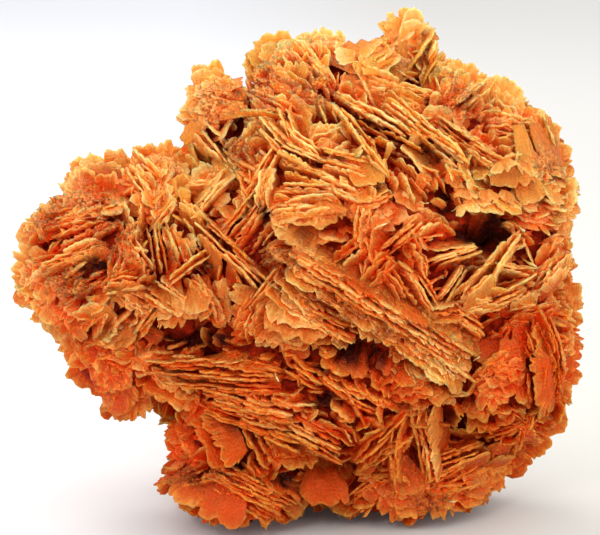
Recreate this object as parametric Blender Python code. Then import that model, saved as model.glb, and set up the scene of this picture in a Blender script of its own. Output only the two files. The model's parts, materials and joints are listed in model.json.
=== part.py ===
"""Barite crystal cluster: sheaves of bladed crystals, grown together in one rough mass 118 mm wide.

The model is in metres, +Z up. The origin is on the floor under the middle of the cluster's box, +X is its right
and -Y its front. The tables below are in millimetres and degrees.

The mass is a core of overlapping lumps. Every sheaf is a stack of flat five-sided plates that grows out of it and
stands edge on, like the pages of a book. The front's sheaves were placed by eye, one at a time, and those of the
sides, back and underside follow a rule. All of it is one solid, cut flat where it stands on the floor.
"""
import math
from typing import NamedTuple

import bmesh
import bpy
import numpy as np
from mathutils import Matrix, Vector

NAME = "barite_cluster"
MM = 0.001

# The front's places are given on a picture plane through the origin, as across and rise. It is seen from the front
# by an eye that looks down a little.
EYE_DISTANCE = 550.0
EYE_ABOVE_LEVEL = math.radians(10.0)
PLANE_CENTRE = (0.6, 50.7)

# The sheaves' free edges stand this far above the core. Its flat facets are swelled to keep their lump's bulk.
PLATE_STANDS = 4.5
FACET_SWELL = 1.1

# A plate is this much longer than its free edge, and a sheaf has a plate for about every 3 mm of its width.
PLATE_SIDES = 5
PLATE_OVERHANG = 1.24
PLATE_THICK = (1.3, 2.3)
PLATE_SHARE = 0.7
TWO_PLATES = 3.6
THREE_PLATES = 6.2

# How far a front sheaf's plates turn from the eye to the surface's own normal.
NORMAL_SHARE = 0.25

# The rule for the sheaves of the sides, back and underside. It stops where the surface faces the eye, whose
# front sheaves take over, and just above the floor.
RULE_SEED = 11
RULE_SPACING = 18.5
RULE_LENGTH = (10.0, 18.0)
RULE_WIDTH = (2.5, 4.8)
RULE_LEAN = 35.0
RULE_SINK = 1.5
RULE_LOWEST = 3.0
FRONT_FACING = 0.1
GOLDEN_ANGLE = math.pi * (3 - math.sqrt(5))

# What brings the origin under the middle of the cluster's box, and the block that is cut away below the floor.
SHIFT = Vector((-0.65, 1.23, 0.0))
FLOOR_BLOCK = 300.0


class Lump(NamedTuple):
    """An ellipsoid that the sheaves' free edges reach. The core's own lump lies PLATE_STANDS inside it."""
    centre: tuple
    radii: tuple


class Pit(NamedTuple):
    """A hollow in the front: across, rise, its half width and half height there, and how deep it goes."""
    across: float
    rise: float
    half_width: float
    half_height: float
    deep: float


class Sheaf(NamedTuple):
    """Plates side by side, whose free edges run from start to end, each an (across, rise) of the front.

    wide is the sheaf's width at its two ends. lean turns the plates from edge on to the eye, to the left of the
    way from start to end. deep is a plate's height, from its free edge to its buried one. proud lifts the sheaf
    to the eye. fan is the angle between its first and last plates.
    """
    start: tuple
    end: tuple
    wide: tuple = (2.0, 2.0)
    lean: float = 0.0
    deep: float = 12.0
    proud: float = 0.0
    fan: float = 16.0


LUMPS = (
    Lump((10, 0, 53), (40, 34, 36)),
    Lump((39.5, 3, 60), (19.5, 26, 26)),
    Lump((40.5, 3, 34), (19, 25, 23)),
    Lump((8, -8, 32), (30, 26, 22)),
    Lump((6, 3, 82), (22, 20, 18)),
    Lump((37, 5, 75), (19.5, 20, 13)),
    Lump((28, 3, 82), (14, 16, 13)),
    Lump((23, 1, 93), (8, 9, 12)),
    Lump((-16, 0, 81.5), (9, 12, 11.5)),
    Lump((-37.5, 0, 52), (21, 22, 19)),
    Lump((-41, 0, 61), (10.5, 16, 11.5)),
    Lump((-28, 0, 64), (12, 16, 14)),
    Lump((-20, 2, 50), (17, 24, 26)),
    Lump((-33, 0, 35), (18, 19, 16)),
    Lump((-12, -10, 13), (17, 19, 21)),
    Lump((21, 4, 10), (22, 25, 20)),
    Lump((-8, 20, 14), (20, 15, 20)),
    Lump((-14, 5, 30), (20, 18, 18)),
    Lump((5, 6, 17), (16, 18, 17)),
)

PITS = (
    Pit(40, 57.5, 6, 5, 18),
    Pit(13, 32.5, 5, 4, 12),
    Pit(-13, 12.5, 4, 4, 10),
    Pit(-44, 51.5, 4, 2.5, 7),
    Pit(27, 75, 5, 3, 9),
    Pit(-22, 35.5, 9, 2, 8),
    Pit(-2, 6, 3, 2.5, 9),
    Pit(33, 17.5, 2.5, 3, 8),
)

UPPER_LEFT = (
    Sheaf((-49, 66.5), (-46, 74), (3, 3), 70),
    Sheaf((-47, 73), (-37, 75), (3, 3), 65),
    Sheaf((-36, 75), (-24, 78), (2, 2), 70),
    Sheaf((-27.5, 77.5), (-25.5, 66), (3, 3), 45),
    Sheaf((-57, 58), (-54, 65.5), (2, 2), 70),
    Sheaf((-53, 60.5), (-41, 64.5), (3, 2), 10),
    Sheaf((-52, 56.5), (-41, 61), (3, 2), 15),
    Sheaf((-54.5, 50), (-42, 56.5), (4, 3), 20, proud=2),
    Sheaf((-60, 45), (-58, 56), (2, 3), 75),
    Sheaf((-49, 43.5), (-41.5, 48), (3, 3), 5),
    Sheaf((-49, 36), (-59, 44), (3, 2), 65),
    Sheaf((-39.5, 50), (-34.5, 61.5), (2, 2), 25),
    Sheaf((-32.5, 60.5), (-31, 69.5), (4, 3), 35),
    Sheaf((-30, 59.5), (-24.5, 66.5), (2, 2), 5),
    Sheaf((-24, 69), (-16.5, 73), (2, 2), 60),
    Sheaf((-20.5, 63), (-15, 69.5), (2, 2), -10),
)

STRAWS = (
    Sheaf((-22.5, 50.5), (-17, 43), (2, 2), 20),
    Sheaf((-27, 60), (-24, 52), (2, 2), 10),
    Sheaf((-30.5, 60), (-28.5, 50.5), (2, 3), 15),
    Sheaf((-28, 46.8), (-20, 53), (1.5, 2), 0, proud=1.5),
    Sheaf((-20.5, 60.5), (-7.5, 47.8), (4, 2.5), 5, proud=2),
    Sheaf((-14.5, 56.5), (-8.5, 64), (5, 4), 5),
    Sheaf((-29, 43), (-34.5, 35.5), (3, 3), 20),
    Sheaf((-19, 40), (-28, 37.5), (2, 2), 60, deep=9),
)

CENTRE = (
    Sheaf((-3, 53), (14, 44.5), (3, 7), 0, proud=3),
    Sheaf((8, 44), (24, 36), (8, 8), -10, proud=4),
    Sheaf((20, 38.5), (35, 28), (8, 7), -20, proud=3),
    Sheaf((-4, 49), (4, 41), (4, 7), -15, proud=2),
    Sheaf((-6, 45), (2, 38), (2, 5), -30, proud=2),
    Sheaf((0, 42), (12, 36.5), (5, 6), -15, proud=2),
    Sheaf((-11, 35), (-9.5, 44), (2, 2), 30, proud=1),
    Sheaf((4, 35.5), (-7, 38), (2, 2), 55, proud=2),
    Sheaf((3, 31.5), (-10, 34), (3, 2), 60),
    Sheaf((-2.5, 30.5), (9, 23), (3, 3), -10, proud=1),
    Sheaf((5, 26.5), (20, 20), (3, 4), -10),
)

LOWER_LEFT = (
    Sheaf((-36, 30.5), (-45, 33.5), (3, 2), 55),
    Sheaf((-46.5, 30), (-48.5, 35), (2, 2), 75),
    Sheaf((-41, 23), (-44.5, 29), (2, 2), 70),
    Sheaf((-32, 21), (-41, 20), (3, 3), 70),
    Sheaf((-31, 30), (-7, 28.5), (3, 4), -5),
    Sheaf((-27, 27), (-5, 25), (3, 4), 0),
    Sheaf((-21, 26), (-1, 19.5), (3, 5), 0),
    Sheaf((-20, 22), (0, 15), (3, 6), -5),
    Sheaf((-33, 25.5), (-23, 21), (4, 4), -45),
    Sheaf((-10, 17), (-6, 9), (5, 3), -20),
    Sheaf((-18.5, 32.5), (-6.5, 29.5), (2, 2), 10),
)

FOOT = (
    Sheaf((-20.5, 10.5), (-22, 21), (2, 2), 45),
    Sheaf((-27, 11), (-28, 18.5), (3, 3), 70),
    Sheaf((-19, 9), (0, -0.5), (4, 5), 0),
    Sheaf((-16, 5), (-4, -2.5), (4, 4), -10),
    Sheaf((-29.5, 4.8), (-18, 8), (2, 5), 0),
    Sheaf((-9, -3), (-25, 3), (3, 3), 55),
)

BASE = (
    Sheaf((11, 1), (1.5, 1.5), (3, 3), 50),
    Sheaf((-1, 17.5), (11, 11), (5, 6), 0),
    Sheaf((10.5, 8.5), (19.5, 16.5), (1.5, 2), 0, proud=1),
    Sheaf((13, 8), (22, 14), (2, 2), 0, proud=1),
    Sheaf((20.5, 4), (20.5, 15.5), (2, 2), 10),
    Sheaf((28, 5), (25.5, 18), (3, 3), 25),
    Sheaf((29, 5.5), (38.5, 11), (4, 3), 0),
    Sheaf((30, 9.5), (40, 13.5), (3, 3), 10),
    Sheaf((35, 1.5), (20, 0), (3, 2), 60),
    Sheaf((19, -1), (12.5, 6), (2, 2), 60),
    Sheaf((46, 7), (37, 1.5), (3, 3), 70),
    Sheaf((57, 21), (46, 7), (3, 3), 75),
    Sheaf((40, 14.5), (49.5, 18.5), (2, 2), 0),
)

RIGHT = (
    Sheaf((30.5, 24), (21.5, 22.5), (3, 3), 50),
    Sheaf((45.5, 22), (36.5, 22), (3, 3), 55),
    Sheaf((36.5, 26.5), (43.5, 33.5), (3, 3), 35),
    Sheaf((48.5, 37), (51.5, 21), (3, 2), -15),
    Sheaf((52, 40), (55, 22), (3, 3), 0),
    Sheaf((59.5, 48), (60, 38), (3, 3), 70),
    Sheaf((60, 37), (57.5, 25), (3, 3), 70),
    Sheaf((58, 57.5), (59.5, 49), (3, 3), 70),
    Sheaf((28.5, 40), (40, 37.5), (4, 4), -10),
    Sheaf((30, 35.5), (39.5, 34.5), (3, 3), -20),
    Sheaf((35, 46.5), (46, 57), (4, 3), -25),
    Sheaf((35.5, 45), (49.5, 47.5), (3, 4), 10),
    Sheaf((40, 51.5), (50, 49.5), (2, 2), 10),
    Sheaf((36, 41.5), (45, 43.5), (2, 3), 0),
    Sheaf((46, 41), (55, 42.5), (3, 4), 20),
)

TOP_RIGHT = (
    Sheaf((7, 87.5), (23, 78), (3, 4), 0, proud=1),
    Sheaf((18, 86), (35, 73), (5, 4), 0, proud=2),
    Sheaf((30, 81), (43, 72), (4, 4), 5),
    Sheaf((16.5, 98.5), (22.5, 105.5), (3, 3), 70),
    Sheaf((22.5, 105), (29, 100), (3, 3), 70),
    Sheaf((24, 103), (30, 94), (4, 4), 20),
    Sheaf((-8, 99), (3, 101), (3, 3), 70),
    Sheaf((3, 101), (10.5, 97.5), (3, 3), 65),
    Sheaf((29.5, 96.5), (40, 92), (3, 3), 70),
    Sheaf((40, 91), (48, 86), (3, 3), 70),
    Sheaf((48, 86), (55.5, 80), (3, 3), 70),
    Sheaf((55, 81), (58.5, 74), (3, 3), 70),
    Sheaf((58.5, 74), (59, 65), (3, 3), 70),
    Sheaf((60, 65.5), (58, 58), (2, 3), 70),
    Sheaf((42, 83), (51, 80.5), (3, 3), 10),
    Sheaf((40, 79), (51, 75), (3, 3), 30),
    Sheaf((14, 92), (28, 87), (4, 4), 20),
    Sheaf((8, 85), (19, 71), (2, 2.5), 0, proud=1),
    Sheaf((20.5, 75), (28, 67.5), (3, 3), 0),
    Sheaf((31, 74), (35, 64), (3, 3), -25),
    Sheaf((47, 61), (35, 62), (3, 3), 45),
    Sheaf((36, 68), (45, 64), (3, 3), 20),
    Sheaf((-1, 98), (7, 91), (2, 2), 10),
)

ROSETTE = (
    Sheaf((-12.5, 84), (-4, 83.5), (2, 2), 20),
    Sheaf((27, 65), (34, 60), (3, 3), 30),
    Sheaf((-7, 92), (2, 89.5), (3, 3), 30),
    Sheaf((-4.5, 72), (4, 69.5), (2, 2), 10),
    Sheaf((-10.5, 66), (-4.5, 75.5), (2, 2), 0),
    Sheaf((5, 74), (14, 71.5), (4, 5), 0),
    Sheaf((20, 60), (14, 57.5), (2, 2), 50),
    Sheaf((19.5, 55), (26, 60.5), (3, 3), 0),
    Sheaf((13.5, 46.5), (19.5, 54), (3, 3), 20),
    Sheaf((25, 49), (30, 41.5), (3, 3), 0),
    Sheaf((-15, 75), (-9.5, 82.5), (2, 2), 25, proud=1),
    Sheaf((-8, 81), (3, 73), (3, 3), 0, proud=2),
    Sheaf((-4, 83.5), (3, 76), (3, 3), 5, proud=1),
    Sheaf((-15.5, 74.5), (-10.5, 65), (2, 3), -15),
    Sheaf((-10.5, 66.5), (-5, 75), (2, 2), 0),
    Sheaf((-4, 67.5), (7, 67), (3, 3), 10, proud=1),
    Sheaf((-5, 63.5), (6, 64.5), (3, 3), 10, proud=1),
    Sheaf((9, 60), (-3, 60.5), (4, 3), 45),
    Sheaf((4, 70), (12, 67), (3, 4), 10),
    Sheaf((13, 55), (14, 64), (3, 4), 15),
    Sheaf((-23.5, 82), (-22.5, 90), (3, 3), 70),
    Sheaf((-22, 91), (-15, 92.5), (3, 3), 70),
    Sheaf((-11.5, 92), (-8.5, 99), (3, 3), 70),
    Sheaf((-21, 80), (-15.5, 73.5), (3, 2), 10),
    Sheaf((31, 53), (39.5, 55.5), (4, 1.5), 0, proud=1),
)

FRONT_SHEAVES = UPPER_LEFT + STRAWS + CENTRE + LOWER_LEFT + FOOT + BASE + RIGHT + TOP_RIGHT + ROSETTE


class Growth(NamedTuple):
    """A sheaf in space: the ends of its middle free edge, the way its plates point, and its sizes."""
    start: Vector
    end: Vector
    out: Vector
    wide: tuple
    deep: float
    fan: float


TO_EYE = Vector((0, -math.cos(EYE_ABOVE_LEVEL), math.sin(EYE_ABOVE_LEVEL)))
PLANE_UP = Vector((0, math.sin(EYE_ABOVE_LEVEL), math.cos(EYE_ABOVE_LEVEL)))
EYE = Vector((PLANE_CENTRE[0], 0, 0)) + PLANE_UP * PLANE_CENTRE[1] + TO_EYE * EYE_DISTANCE


def reciprocal(radii):
    """One over each radius."""
    return Vector([1 / radius for radius in radii])


def surface_at(across, rise):
    """Where the line of sight through this place meets the lumps, or passes closest, and the normal there."""
    way = (Vector((across, 0, 0)) + PLANE_UP * rise - EYE).normalized()
    nearest = None
    closest = None
    for lump in LUMPS:
        shrink = reciprocal(lump.radii)
        from_centre = (EYE - Vector(lump.centre)) * shrink
        scaled_way = way * shrink
        square = scaled_way.dot(scaled_way)
        along = -from_centre.dot(scaled_way) / square
        miss = (from_centre + scaled_way * along).length
        if closest is None or miss < closest[0]:
            closest = (miss, along, lump)
        if miss < 1:
            along -= math.sqrt((1 - miss * miss) / square)
            if nearest is None or along < nearest[0]:
                nearest = (along, lump)
    along, lump = nearest or closest[1:]
    point = EYE + way * along
    shrink = reciprocal(lump.radii)
    normal = ((point - Vector(lump.centre)) * shrink * shrink).normalized()
    return point, normal


def front_growth(sheaf):
    """A sheaf of the front, set on the lumps."""
    start, normal_at_start = surface_at(*sheaf.start)
    end, normal_at_end = surface_at(*sheaf.end)
    forward = (normal_at_start + normal_at_end).normalized() * NORMAL_SHARE + TO_EYE
    along = (end - start).normalized()
    forward = (forward - along * forward.dot(along)).normalized()
    out = Matrix.Rotation(math.radians(-sheaf.lean), 3, along) @ forward
    lift = TO_EYE * sheaf.proud
    return Growth(start + lift, end + lift, out, sheaf.wide, sheaf.deep, sheaf.fan)


def is_inside(point, lump):
    """Whether the point lies well inside the lump."""
    scaled = [(p - c) / (r - RULE_SINK) for p, c, r in zip(point, lump.centre, lump.radii)]
    return Vector(scaled).length < 1


def rule_growth(point, normal, chance):
    """A sheaf at this point of the sides or the back, turned and sized by chance."""
    turn = chance.uniform(0, math.pi)
    lean = math.radians(chance.uniform(-RULE_LEAN, RULE_LEAN))
    half_edge = chance.uniform(*RULE_LENGTH) / 2
    wide = chance.uniform(*RULE_WIDTH)
    along = Matrix.Rotation(turn, 3, normal) @ normal.orthogonal().normalized()
    out = Matrix.Rotation(lean, 3, along) @ normal
    usual = Sheaf._field_defaults
    start, end = point - along * half_edge, point + along * half_edge
    return Growth(start, end, out, (wide, wide), usual["deep"], usual["fan"])


def rule_growths():
    """The sheaves of the sides, back and underside, spread evenly over each lump where it shows."""
    chance = np.random.default_rng(RULE_SEED)
    growths = []
    for lump in LUMPS:
        mean_radius = math.prod(lump.radii) ** (1 / 3)
        count = round(4 * math.pi * mean_radius ** 2 / RULE_SPACING ** 2)
        for index in range(count):
            height = 1 - 2 * (index + 0.5) / count
            ring = math.sqrt(1 - height * height)
            unit = Vector((ring * math.cos(GOLDEN_ANGLE * index), ring * math.sin(GOLDEN_ANGLE * index), height))
            point = Vector(lump.centre) + unit * Vector(lump.radii)
            normal = (unit * reciprocal(lump.radii)).normalized()
            growth = rule_growth(point, normal, chance)
            hidden = any(is_inside(point, other) for other in LUMPS if other is not lump)
            if not hidden and point.z > RULE_LOWEST and normal.dot(TO_EYE) < FRONT_FACING:
                growths.append(growth)
    return growths


def add_helper(name, shape, collection):
    """A new object of this shape, which is used up. It only shapes the cluster."""
    mesh = bpy.data.meshes.new(name)
    shape.to_mesh(mesh)
    shape.free()
    helper = bpy.data.objects.new(name, mesh)
    helper.hide_render = True
    helper.display_type = "WIRE"
    collection.objects.link(helper)
    return helper


def axes_matrix(across, up, out):
    """The turn whose X, Y and Z are these directions."""
    return Matrix((across, up, out)).transposed().to_4x4()


def add_ball(name, centre, turn, radii, fineness, collection):
    """A facetted ellipsoid."""
    shape = bmesh.new()
    bmesh.ops.create_icosphere(shape, subdivisions=fineness, radius=1)
    shape.transform(Matrix.Scale(MM, 4) @ Matrix.Translation(centre) @ turn @ Matrix.Diagonal((*radii, 1)))
    return add_helper(name, shape, collection)


def add_core_lump(name, lump, collection):
    """The core's share of a lump: twenty flat facets, a little under the sheaves' free edges."""
    radii = [(radius - PLATE_STANDS) * FACET_SWELL for radius in lump.radii]
    return add_ball(name, Vector(lump.centre), Matrix(), radii, 1, collection)


def add_pit(name, pit, collection):
    """A hollow that opens to the eye."""
    mouth, _ = surface_at(pit.across, pit.rise)
    turn = axes_matrix(Vector((1, 0, 0)), PLANE_UP, TO_EYE)
    return add_ball(name, mouth, turn, (pit.half_width, pit.half_height, pit.deep), 2, collection)


def add_plate(name, start, end, out, deep, thick, collection):
    """A flat plate whose free edge runs between two points, and that reaches back from it."""
    along = (end - start).normalized()
    out = (out - along * out.dot(along)).normalized()
    middle = (start + end) / 2 - out * deep / 2
    half_length = (end - start).length / 2 * PLATE_OVERHANG
    half_deep = deep / 2 / math.cos(math.pi / PLATE_SIDES)
    turn = axes_matrix(along, out, along.cross(out))
    size = Matrix.Diagonal((half_length, half_deep, thick, 1))
    shape = bmesh.new()
    bmesh.ops.create_cone(shape, cap_ends=True, segments=PLATE_SIDES, radius1=1, radius2=1, depth=1)
    bmesh.ops.rotate(shape, verts=shape.verts, matrix=Matrix.Rotation(math.pi / PLATE_SIDES, 3, "Z"))
    shape.transform(Matrix.Scale(MM, 4) @ Matrix.Translation(middle) @ turn @ size)
    return add_helper(name, shape, collection)


def add_sheaf(name, growth, collection):
    """The plates of one sheaf, spread over its width and fanned about its free edge."""
    along = (growth.end - growth.start).normalized()
    side = along.cross(growth.out).normalized()
    width = sum(growth.wide) / 2
    count = 1 + (width > TWO_PLATES) + (width > THREE_PLATES)
    thick = min(max(width / count * PLATE_SHARE, PLATE_THICK[0]), PLATE_THICK[1])
    for index in range(count):
        place = (index + 0.5) / count - 0.5
        out = Matrix.Rotation(math.radians(growth.fan * place), 3, along) @ growth.out
        start = growth.start - side * growth.wide[0] * place
        end = growth.end - side * growth.wide[1] * place
        add_plate(f"{name}_plate_{index}", start, end, out, growth.deep, thick, collection)


def add_boolean(thing, operation, operands):
    """Joins or cuts a thing with every object of a collection."""
    step = thing.modifiers.new(operation.lower(), "BOOLEAN")
    step.operation = operation
    step.solver = "EXACT"
    step.operand_type = "COLLECTION"
    step.collection = operands


def keep_outer_shell(mesh):
    """Drops the small voids that are closed in between crossing plates, so that only the outer shell is left."""
    shape = bmesh.new()
    shape.from_mesh(mesh)
    left = set(shape.verts)
    shells = []
    while left:
        shell = [left.pop()]
        for vert in shell:
            joined = {edge.other_vert(vert) for edge in vert.link_edges} & left
            left -= joined
            shell.extend(joined)
        shells.append(shell)
    shells.sort(key=len)
    for shell in shells[:-1]:
        bmesh.ops.delete(shape, geom=shell, context="VERTS")
    bmesh.ops.triangulate(shape, faces=shape.faces)
    shape.to_mesh(mesh)
    shape.free()


def barite_material():
    """Orange barite with pearly faces."""
    material = bpy.data.materials.new("barite")
    material.use_nodes = True
    surface = material.node_tree.nodes["Principled BSDF"]
    surface.inputs["Base Color"].default_value = (0.54, 0.13, 0.024, 1)
    surface.inputs["Roughness"].default_value = 0.5
    surface.inputs["Metallic"].default_value = 0.0
    return material


def add_collection(name):
    """A new collection in the scene."""
    collection = bpy.data.collections.new(name)
    bpy.context.scene.collection.children.link(collection)
    return collection


def build_core():
    """The first lump, with the steps that join the rest to it, and what they use."""
    lumps, pits, plates, floor = [add_collection(name) for name in ("lumps", "pits", "plates", "floor")]
    for index, lump in enumerate(LUMPS[1:]):
        add_core_lump(f"lump_{index}", lump, lumps)
    for index, pit in enumerate(PITS):
        add_pit(f"pit_{index}", pit, pits)
    for index, growth in enumerate([front_growth(sheaf) for sheaf in FRONT_SHEAVES] + rule_growths()):
        add_sheaf(f"sheaf_{index}", growth, plates)
    block = bmesh.new()
    bmesh.ops.create_cube(block, size=FLOOR_BLOCK * MM)
    bmesh.ops.translate(block, verts=block.verts, vec=(0, 0, -FLOOR_BLOCK * MM / 2))
    add_helper("floor_block", block, floor)

    core = add_core_lump("core", LUMPS[0], add_collection("core"))
    add_boolean(core, "UNION", lumps)
    add_boolean(core, "DIFFERENCE", pits)
    add_boolean(core, "UNION", plates)
    add_boolean(core, "DIFFERENCE", floor)
    return core


def build_cluster():
    """Clears the scene and makes the cluster."""
    for thing in list(bpy.data.objects):
        bpy.data.objects.remove(thing)
    core = build_core()
    bpy.context.view_layer.update()
    finished_core = core.evaluated_get(bpy.context.evaluated_depsgraph_get())
    mesh = bpy.data.meshes.new_from_object(finished_core)
    mesh.name = NAME
    keep_outer_shell(mesh)
    mesh.transform(Matrix.Translation(SHIFT * MM))
    mesh.materials.clear()
    mesh.materials.append(barite_material())
    add_collection("barite crystal cluster").objects.link(bpy.data.objects.new(NAME, mesh))


build_cluster()
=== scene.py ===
# %% [markdown]
# A barite cluster is a mass of thin crystals that grew together. Each crystal is a flat blade, and most
# of them stand edge on, side by side like the pages of a book, in sheaves that fan out and run into each
# other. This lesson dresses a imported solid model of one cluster. The solid fixes its size, and where its
# larger sheaves stand.

# %% Load the solid model
import json
import math
from typing import NamedTuple

import bmesh
import bpy
import numpy as np
from mathutils import Matrix, Vector, noise
from mathutils.kdtree import KDTree

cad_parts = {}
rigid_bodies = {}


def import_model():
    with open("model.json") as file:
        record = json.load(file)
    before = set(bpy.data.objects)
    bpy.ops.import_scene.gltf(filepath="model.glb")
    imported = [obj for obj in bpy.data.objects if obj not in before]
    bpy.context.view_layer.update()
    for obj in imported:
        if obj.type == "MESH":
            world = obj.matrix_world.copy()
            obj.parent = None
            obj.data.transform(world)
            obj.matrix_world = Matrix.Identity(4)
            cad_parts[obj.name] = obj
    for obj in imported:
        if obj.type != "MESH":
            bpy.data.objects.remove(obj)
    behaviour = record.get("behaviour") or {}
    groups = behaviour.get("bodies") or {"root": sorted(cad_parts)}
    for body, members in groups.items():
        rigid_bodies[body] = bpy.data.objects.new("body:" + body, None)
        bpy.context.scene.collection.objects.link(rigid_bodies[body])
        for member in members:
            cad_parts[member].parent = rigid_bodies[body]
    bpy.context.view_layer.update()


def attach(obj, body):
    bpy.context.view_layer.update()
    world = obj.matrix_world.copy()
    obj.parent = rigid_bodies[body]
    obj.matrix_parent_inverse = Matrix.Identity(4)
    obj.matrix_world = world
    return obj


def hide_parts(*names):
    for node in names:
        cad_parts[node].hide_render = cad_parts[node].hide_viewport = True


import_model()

NODE = "barite_cluster"
MM = 0.001

# %% [markdown]
# The camera comes first, because every sheaf of the front is placed by where it is seen. Places are given
# on an upright picture plane through the cluster's origin, as across and rise in millimetres. The eye
# looks down a little, and it stands far off, as it does when a long lens is used on a small object.

# %% Set up the camera
EYE_DISTANCE = 550.0
EYE_ABOVE_LEVEL = math.radians(10.0)
PLANE_CENTRE = (0.6, 50.7)
PICTURE_WIDTH = 126.0
SENSOR = 36.0
CLIP_START = 0.01
# The cluster's own origin lies this far from the middle of its box. The solid was moved by it, and so is
# everything here.
SHIFT = Vector((-0.65, 1.23, 0.0))

TO_EYE = Vector((0, -math.cos(EYE_ABOVE_LEVEL), math.sin(EYE_ABOVE_LEVEL)))
PLANE_UP = Vector((0, math.sin(EYE_ABOVE_LEVEL), math.cos(EYE_ABOVE_LEVEL)))
PICTURE_MIDDLE = Vector((PLANE_CENTRE[0], 0, 0)) + PLANE_UP * PLANE_CENTRE[1]
EYE = PICTURE_MIDDLE + TO_EYE * EYE_DISTANCE

camera = bpy.data.objects.new("camera", bpy.data.cameras.new("camera"))
bpy.context.scene.collection.objects.link(camera)
camera.location = (EYE + SHIFT) * MM
camera.rotation_euler = (-TO_EYE).to_track_quat("-Z", "Y").to_euler()
camera.data.sensor_width = SENSOR
camera.data.lens = SENSOR * EYE_DISTANCE / PICTURE_WIDTH
camera.data.clip_start = CLIP_START
bpy.context.scene.camera = camera
print("lens, mm:", round(camera.data.lens))

# %% [markdown]
# The cluster's bulk is a heap of overlapping rounded lumps. The blades' free edges reach these lumps'
# surfaces. Ellipsoids are enough for that: a line of sight meets one by a short formula, and the formula
# gives the surface's direction too.

# %% The lumps that the blades' edges reach
class Lump(NamedTuple):
    """An ellipsoid of the cluster's bulk, in millimetres."""
    centre: tuple
    radii: tuple


LUMPS = (
    Lump((10, 0, 53), (40, 34, 36)),
    Lump((39.5, 3, 60), (19.5, 26, 26)),
    Lump((40.5, 3, 34), (19, 25, 23)),
    Lump((8, -8, 32), (30, 26, 22)),
    Lump((6, 3, 82), (22, 20, 18)),
    Lump((37, 5, 75), (19.5, 20, 13)),
    Lump((28, 3, 82), (14, 16, 13)),
    Lump((23, 1, 93), (8, 9, 12)),
    Lump((-16, 0, 81.5), (9, 12, 11.5)),
    Lump((-37.5, 0, 52), (21, 22, 19)),
    Lump((-41, 0, 61), (10.5, 16, 11.5)),
    Lump((-28, 0, 64), (12, 16, 14)),
    Lump((-20, 2, 50), (17, 24, 26)),
    Lump((-33, 0, 35), (18, 19, 16)),
    Lump((-12, -10, 13), (17, 19, 21)),
    Lump((21, 4, 10), (22, 25, 20)),
    Lump((-8, 20, 14), (20, 15, 20)),
    Lump((-14, 5, 30), (20, 18, 18)),
    Lump((5, 6, 17), (16, 18, 17)),
)


def reciprocal(radii):
    """One over each radius."""
    return Vector([1 / radius for radius in radii])


def surface_at(across, rise):
    """Where the line of sight through a place meets the lumps, or passes closest, and the normal there."""
    way = (Vector((across, 0, 0)) + PLANE_UP * rise - EYE).normalized()
    nearest = None
    closest = None
    for lump in LUMPS:
        shrink = reciprocal(lump.radii)
        from_centre = (EYE - Vector(lump.centre)) * shrink
        scaled_way = way * shrink
        square = scaled_way.dot(scaled_way)
        along = -from_centre.dot(scaled_way) / square
        miss = (from_centre + scaled_way * along).length
        if closest is None or miss < closest[0]:
            closest = (miss, along, lump)
        if miss < 1:
            along -= math.sqrt((1 - miss * miss) / square)
            if nearest is None or along < nearest[0]:
                nearest = (along, lump)
    along, lump = nearest or closest[1:]
    point = EYE + way * along
    shrink = reciprocal(lump.radii)
    normal = ((point - Vector(lump.centre)) * shrink * shrink).normalized()
    return point, normal


def seen_at(point):
    """Where the eye sees a point: its across and rise on the picture plane."""
    way = point - EYE
    point_on_plane = EYE + way * (EYE_DISTANCE / -way.dot(TO_EYE))
    return point_on_plane.x, point_on_plane.dot(PLANE_UP)


print("nearest point of the front, mm from the picture plane:", round(surface_at(8, 50)[0].dot(TO_EYE), 1))

# %% [markdown]
# The front's sheaves are listed one a line. A sheaf is given by the two ends of its free edge, by how wide
# its stack of blades is at each end, and by how far its blades lean over. A lean of 0 shows the blades edge
# on, as pale lines, and a lean of 60 shows their faces, as petals.

# %% What a sheaf is
class Sheaf(NamedTuple):
    """Blades side by side, whose free edges run from start to end, each an (across, rise) of the picture.

    wide is the stack's width at its two ends. lean turns the blades to the left of the way from start
    to end, and bend bows their edges to that side too. deep is a blade's height, proud lifts the sheaf
    to the eye, and reach moves it out the way its blades point. fan is the angle between its outer
    blades, and piece is how far a blade's edge runs before it breaks. A count makes it a leaf: that
    many broad blades, which show a bare face.
    """
    start: tuple
    end: tuple
    wide: tuple = (2.0, 2.0)
    lean: float = 0.0
    bend: float = 0.0
    deep: float = 12.0
    proud: float = 0.0
    fan: float = 16.0
    piece: float = 8.0
    reach: float = 0.0
    count: int = 0


print("what a sheaf may have:", ", ".join(Sheaf._fields))

# %% [markdown]
# The upper left is a lobe of its own. Its outline shows blade faces, and inside it short books lie on
# their side.

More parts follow.
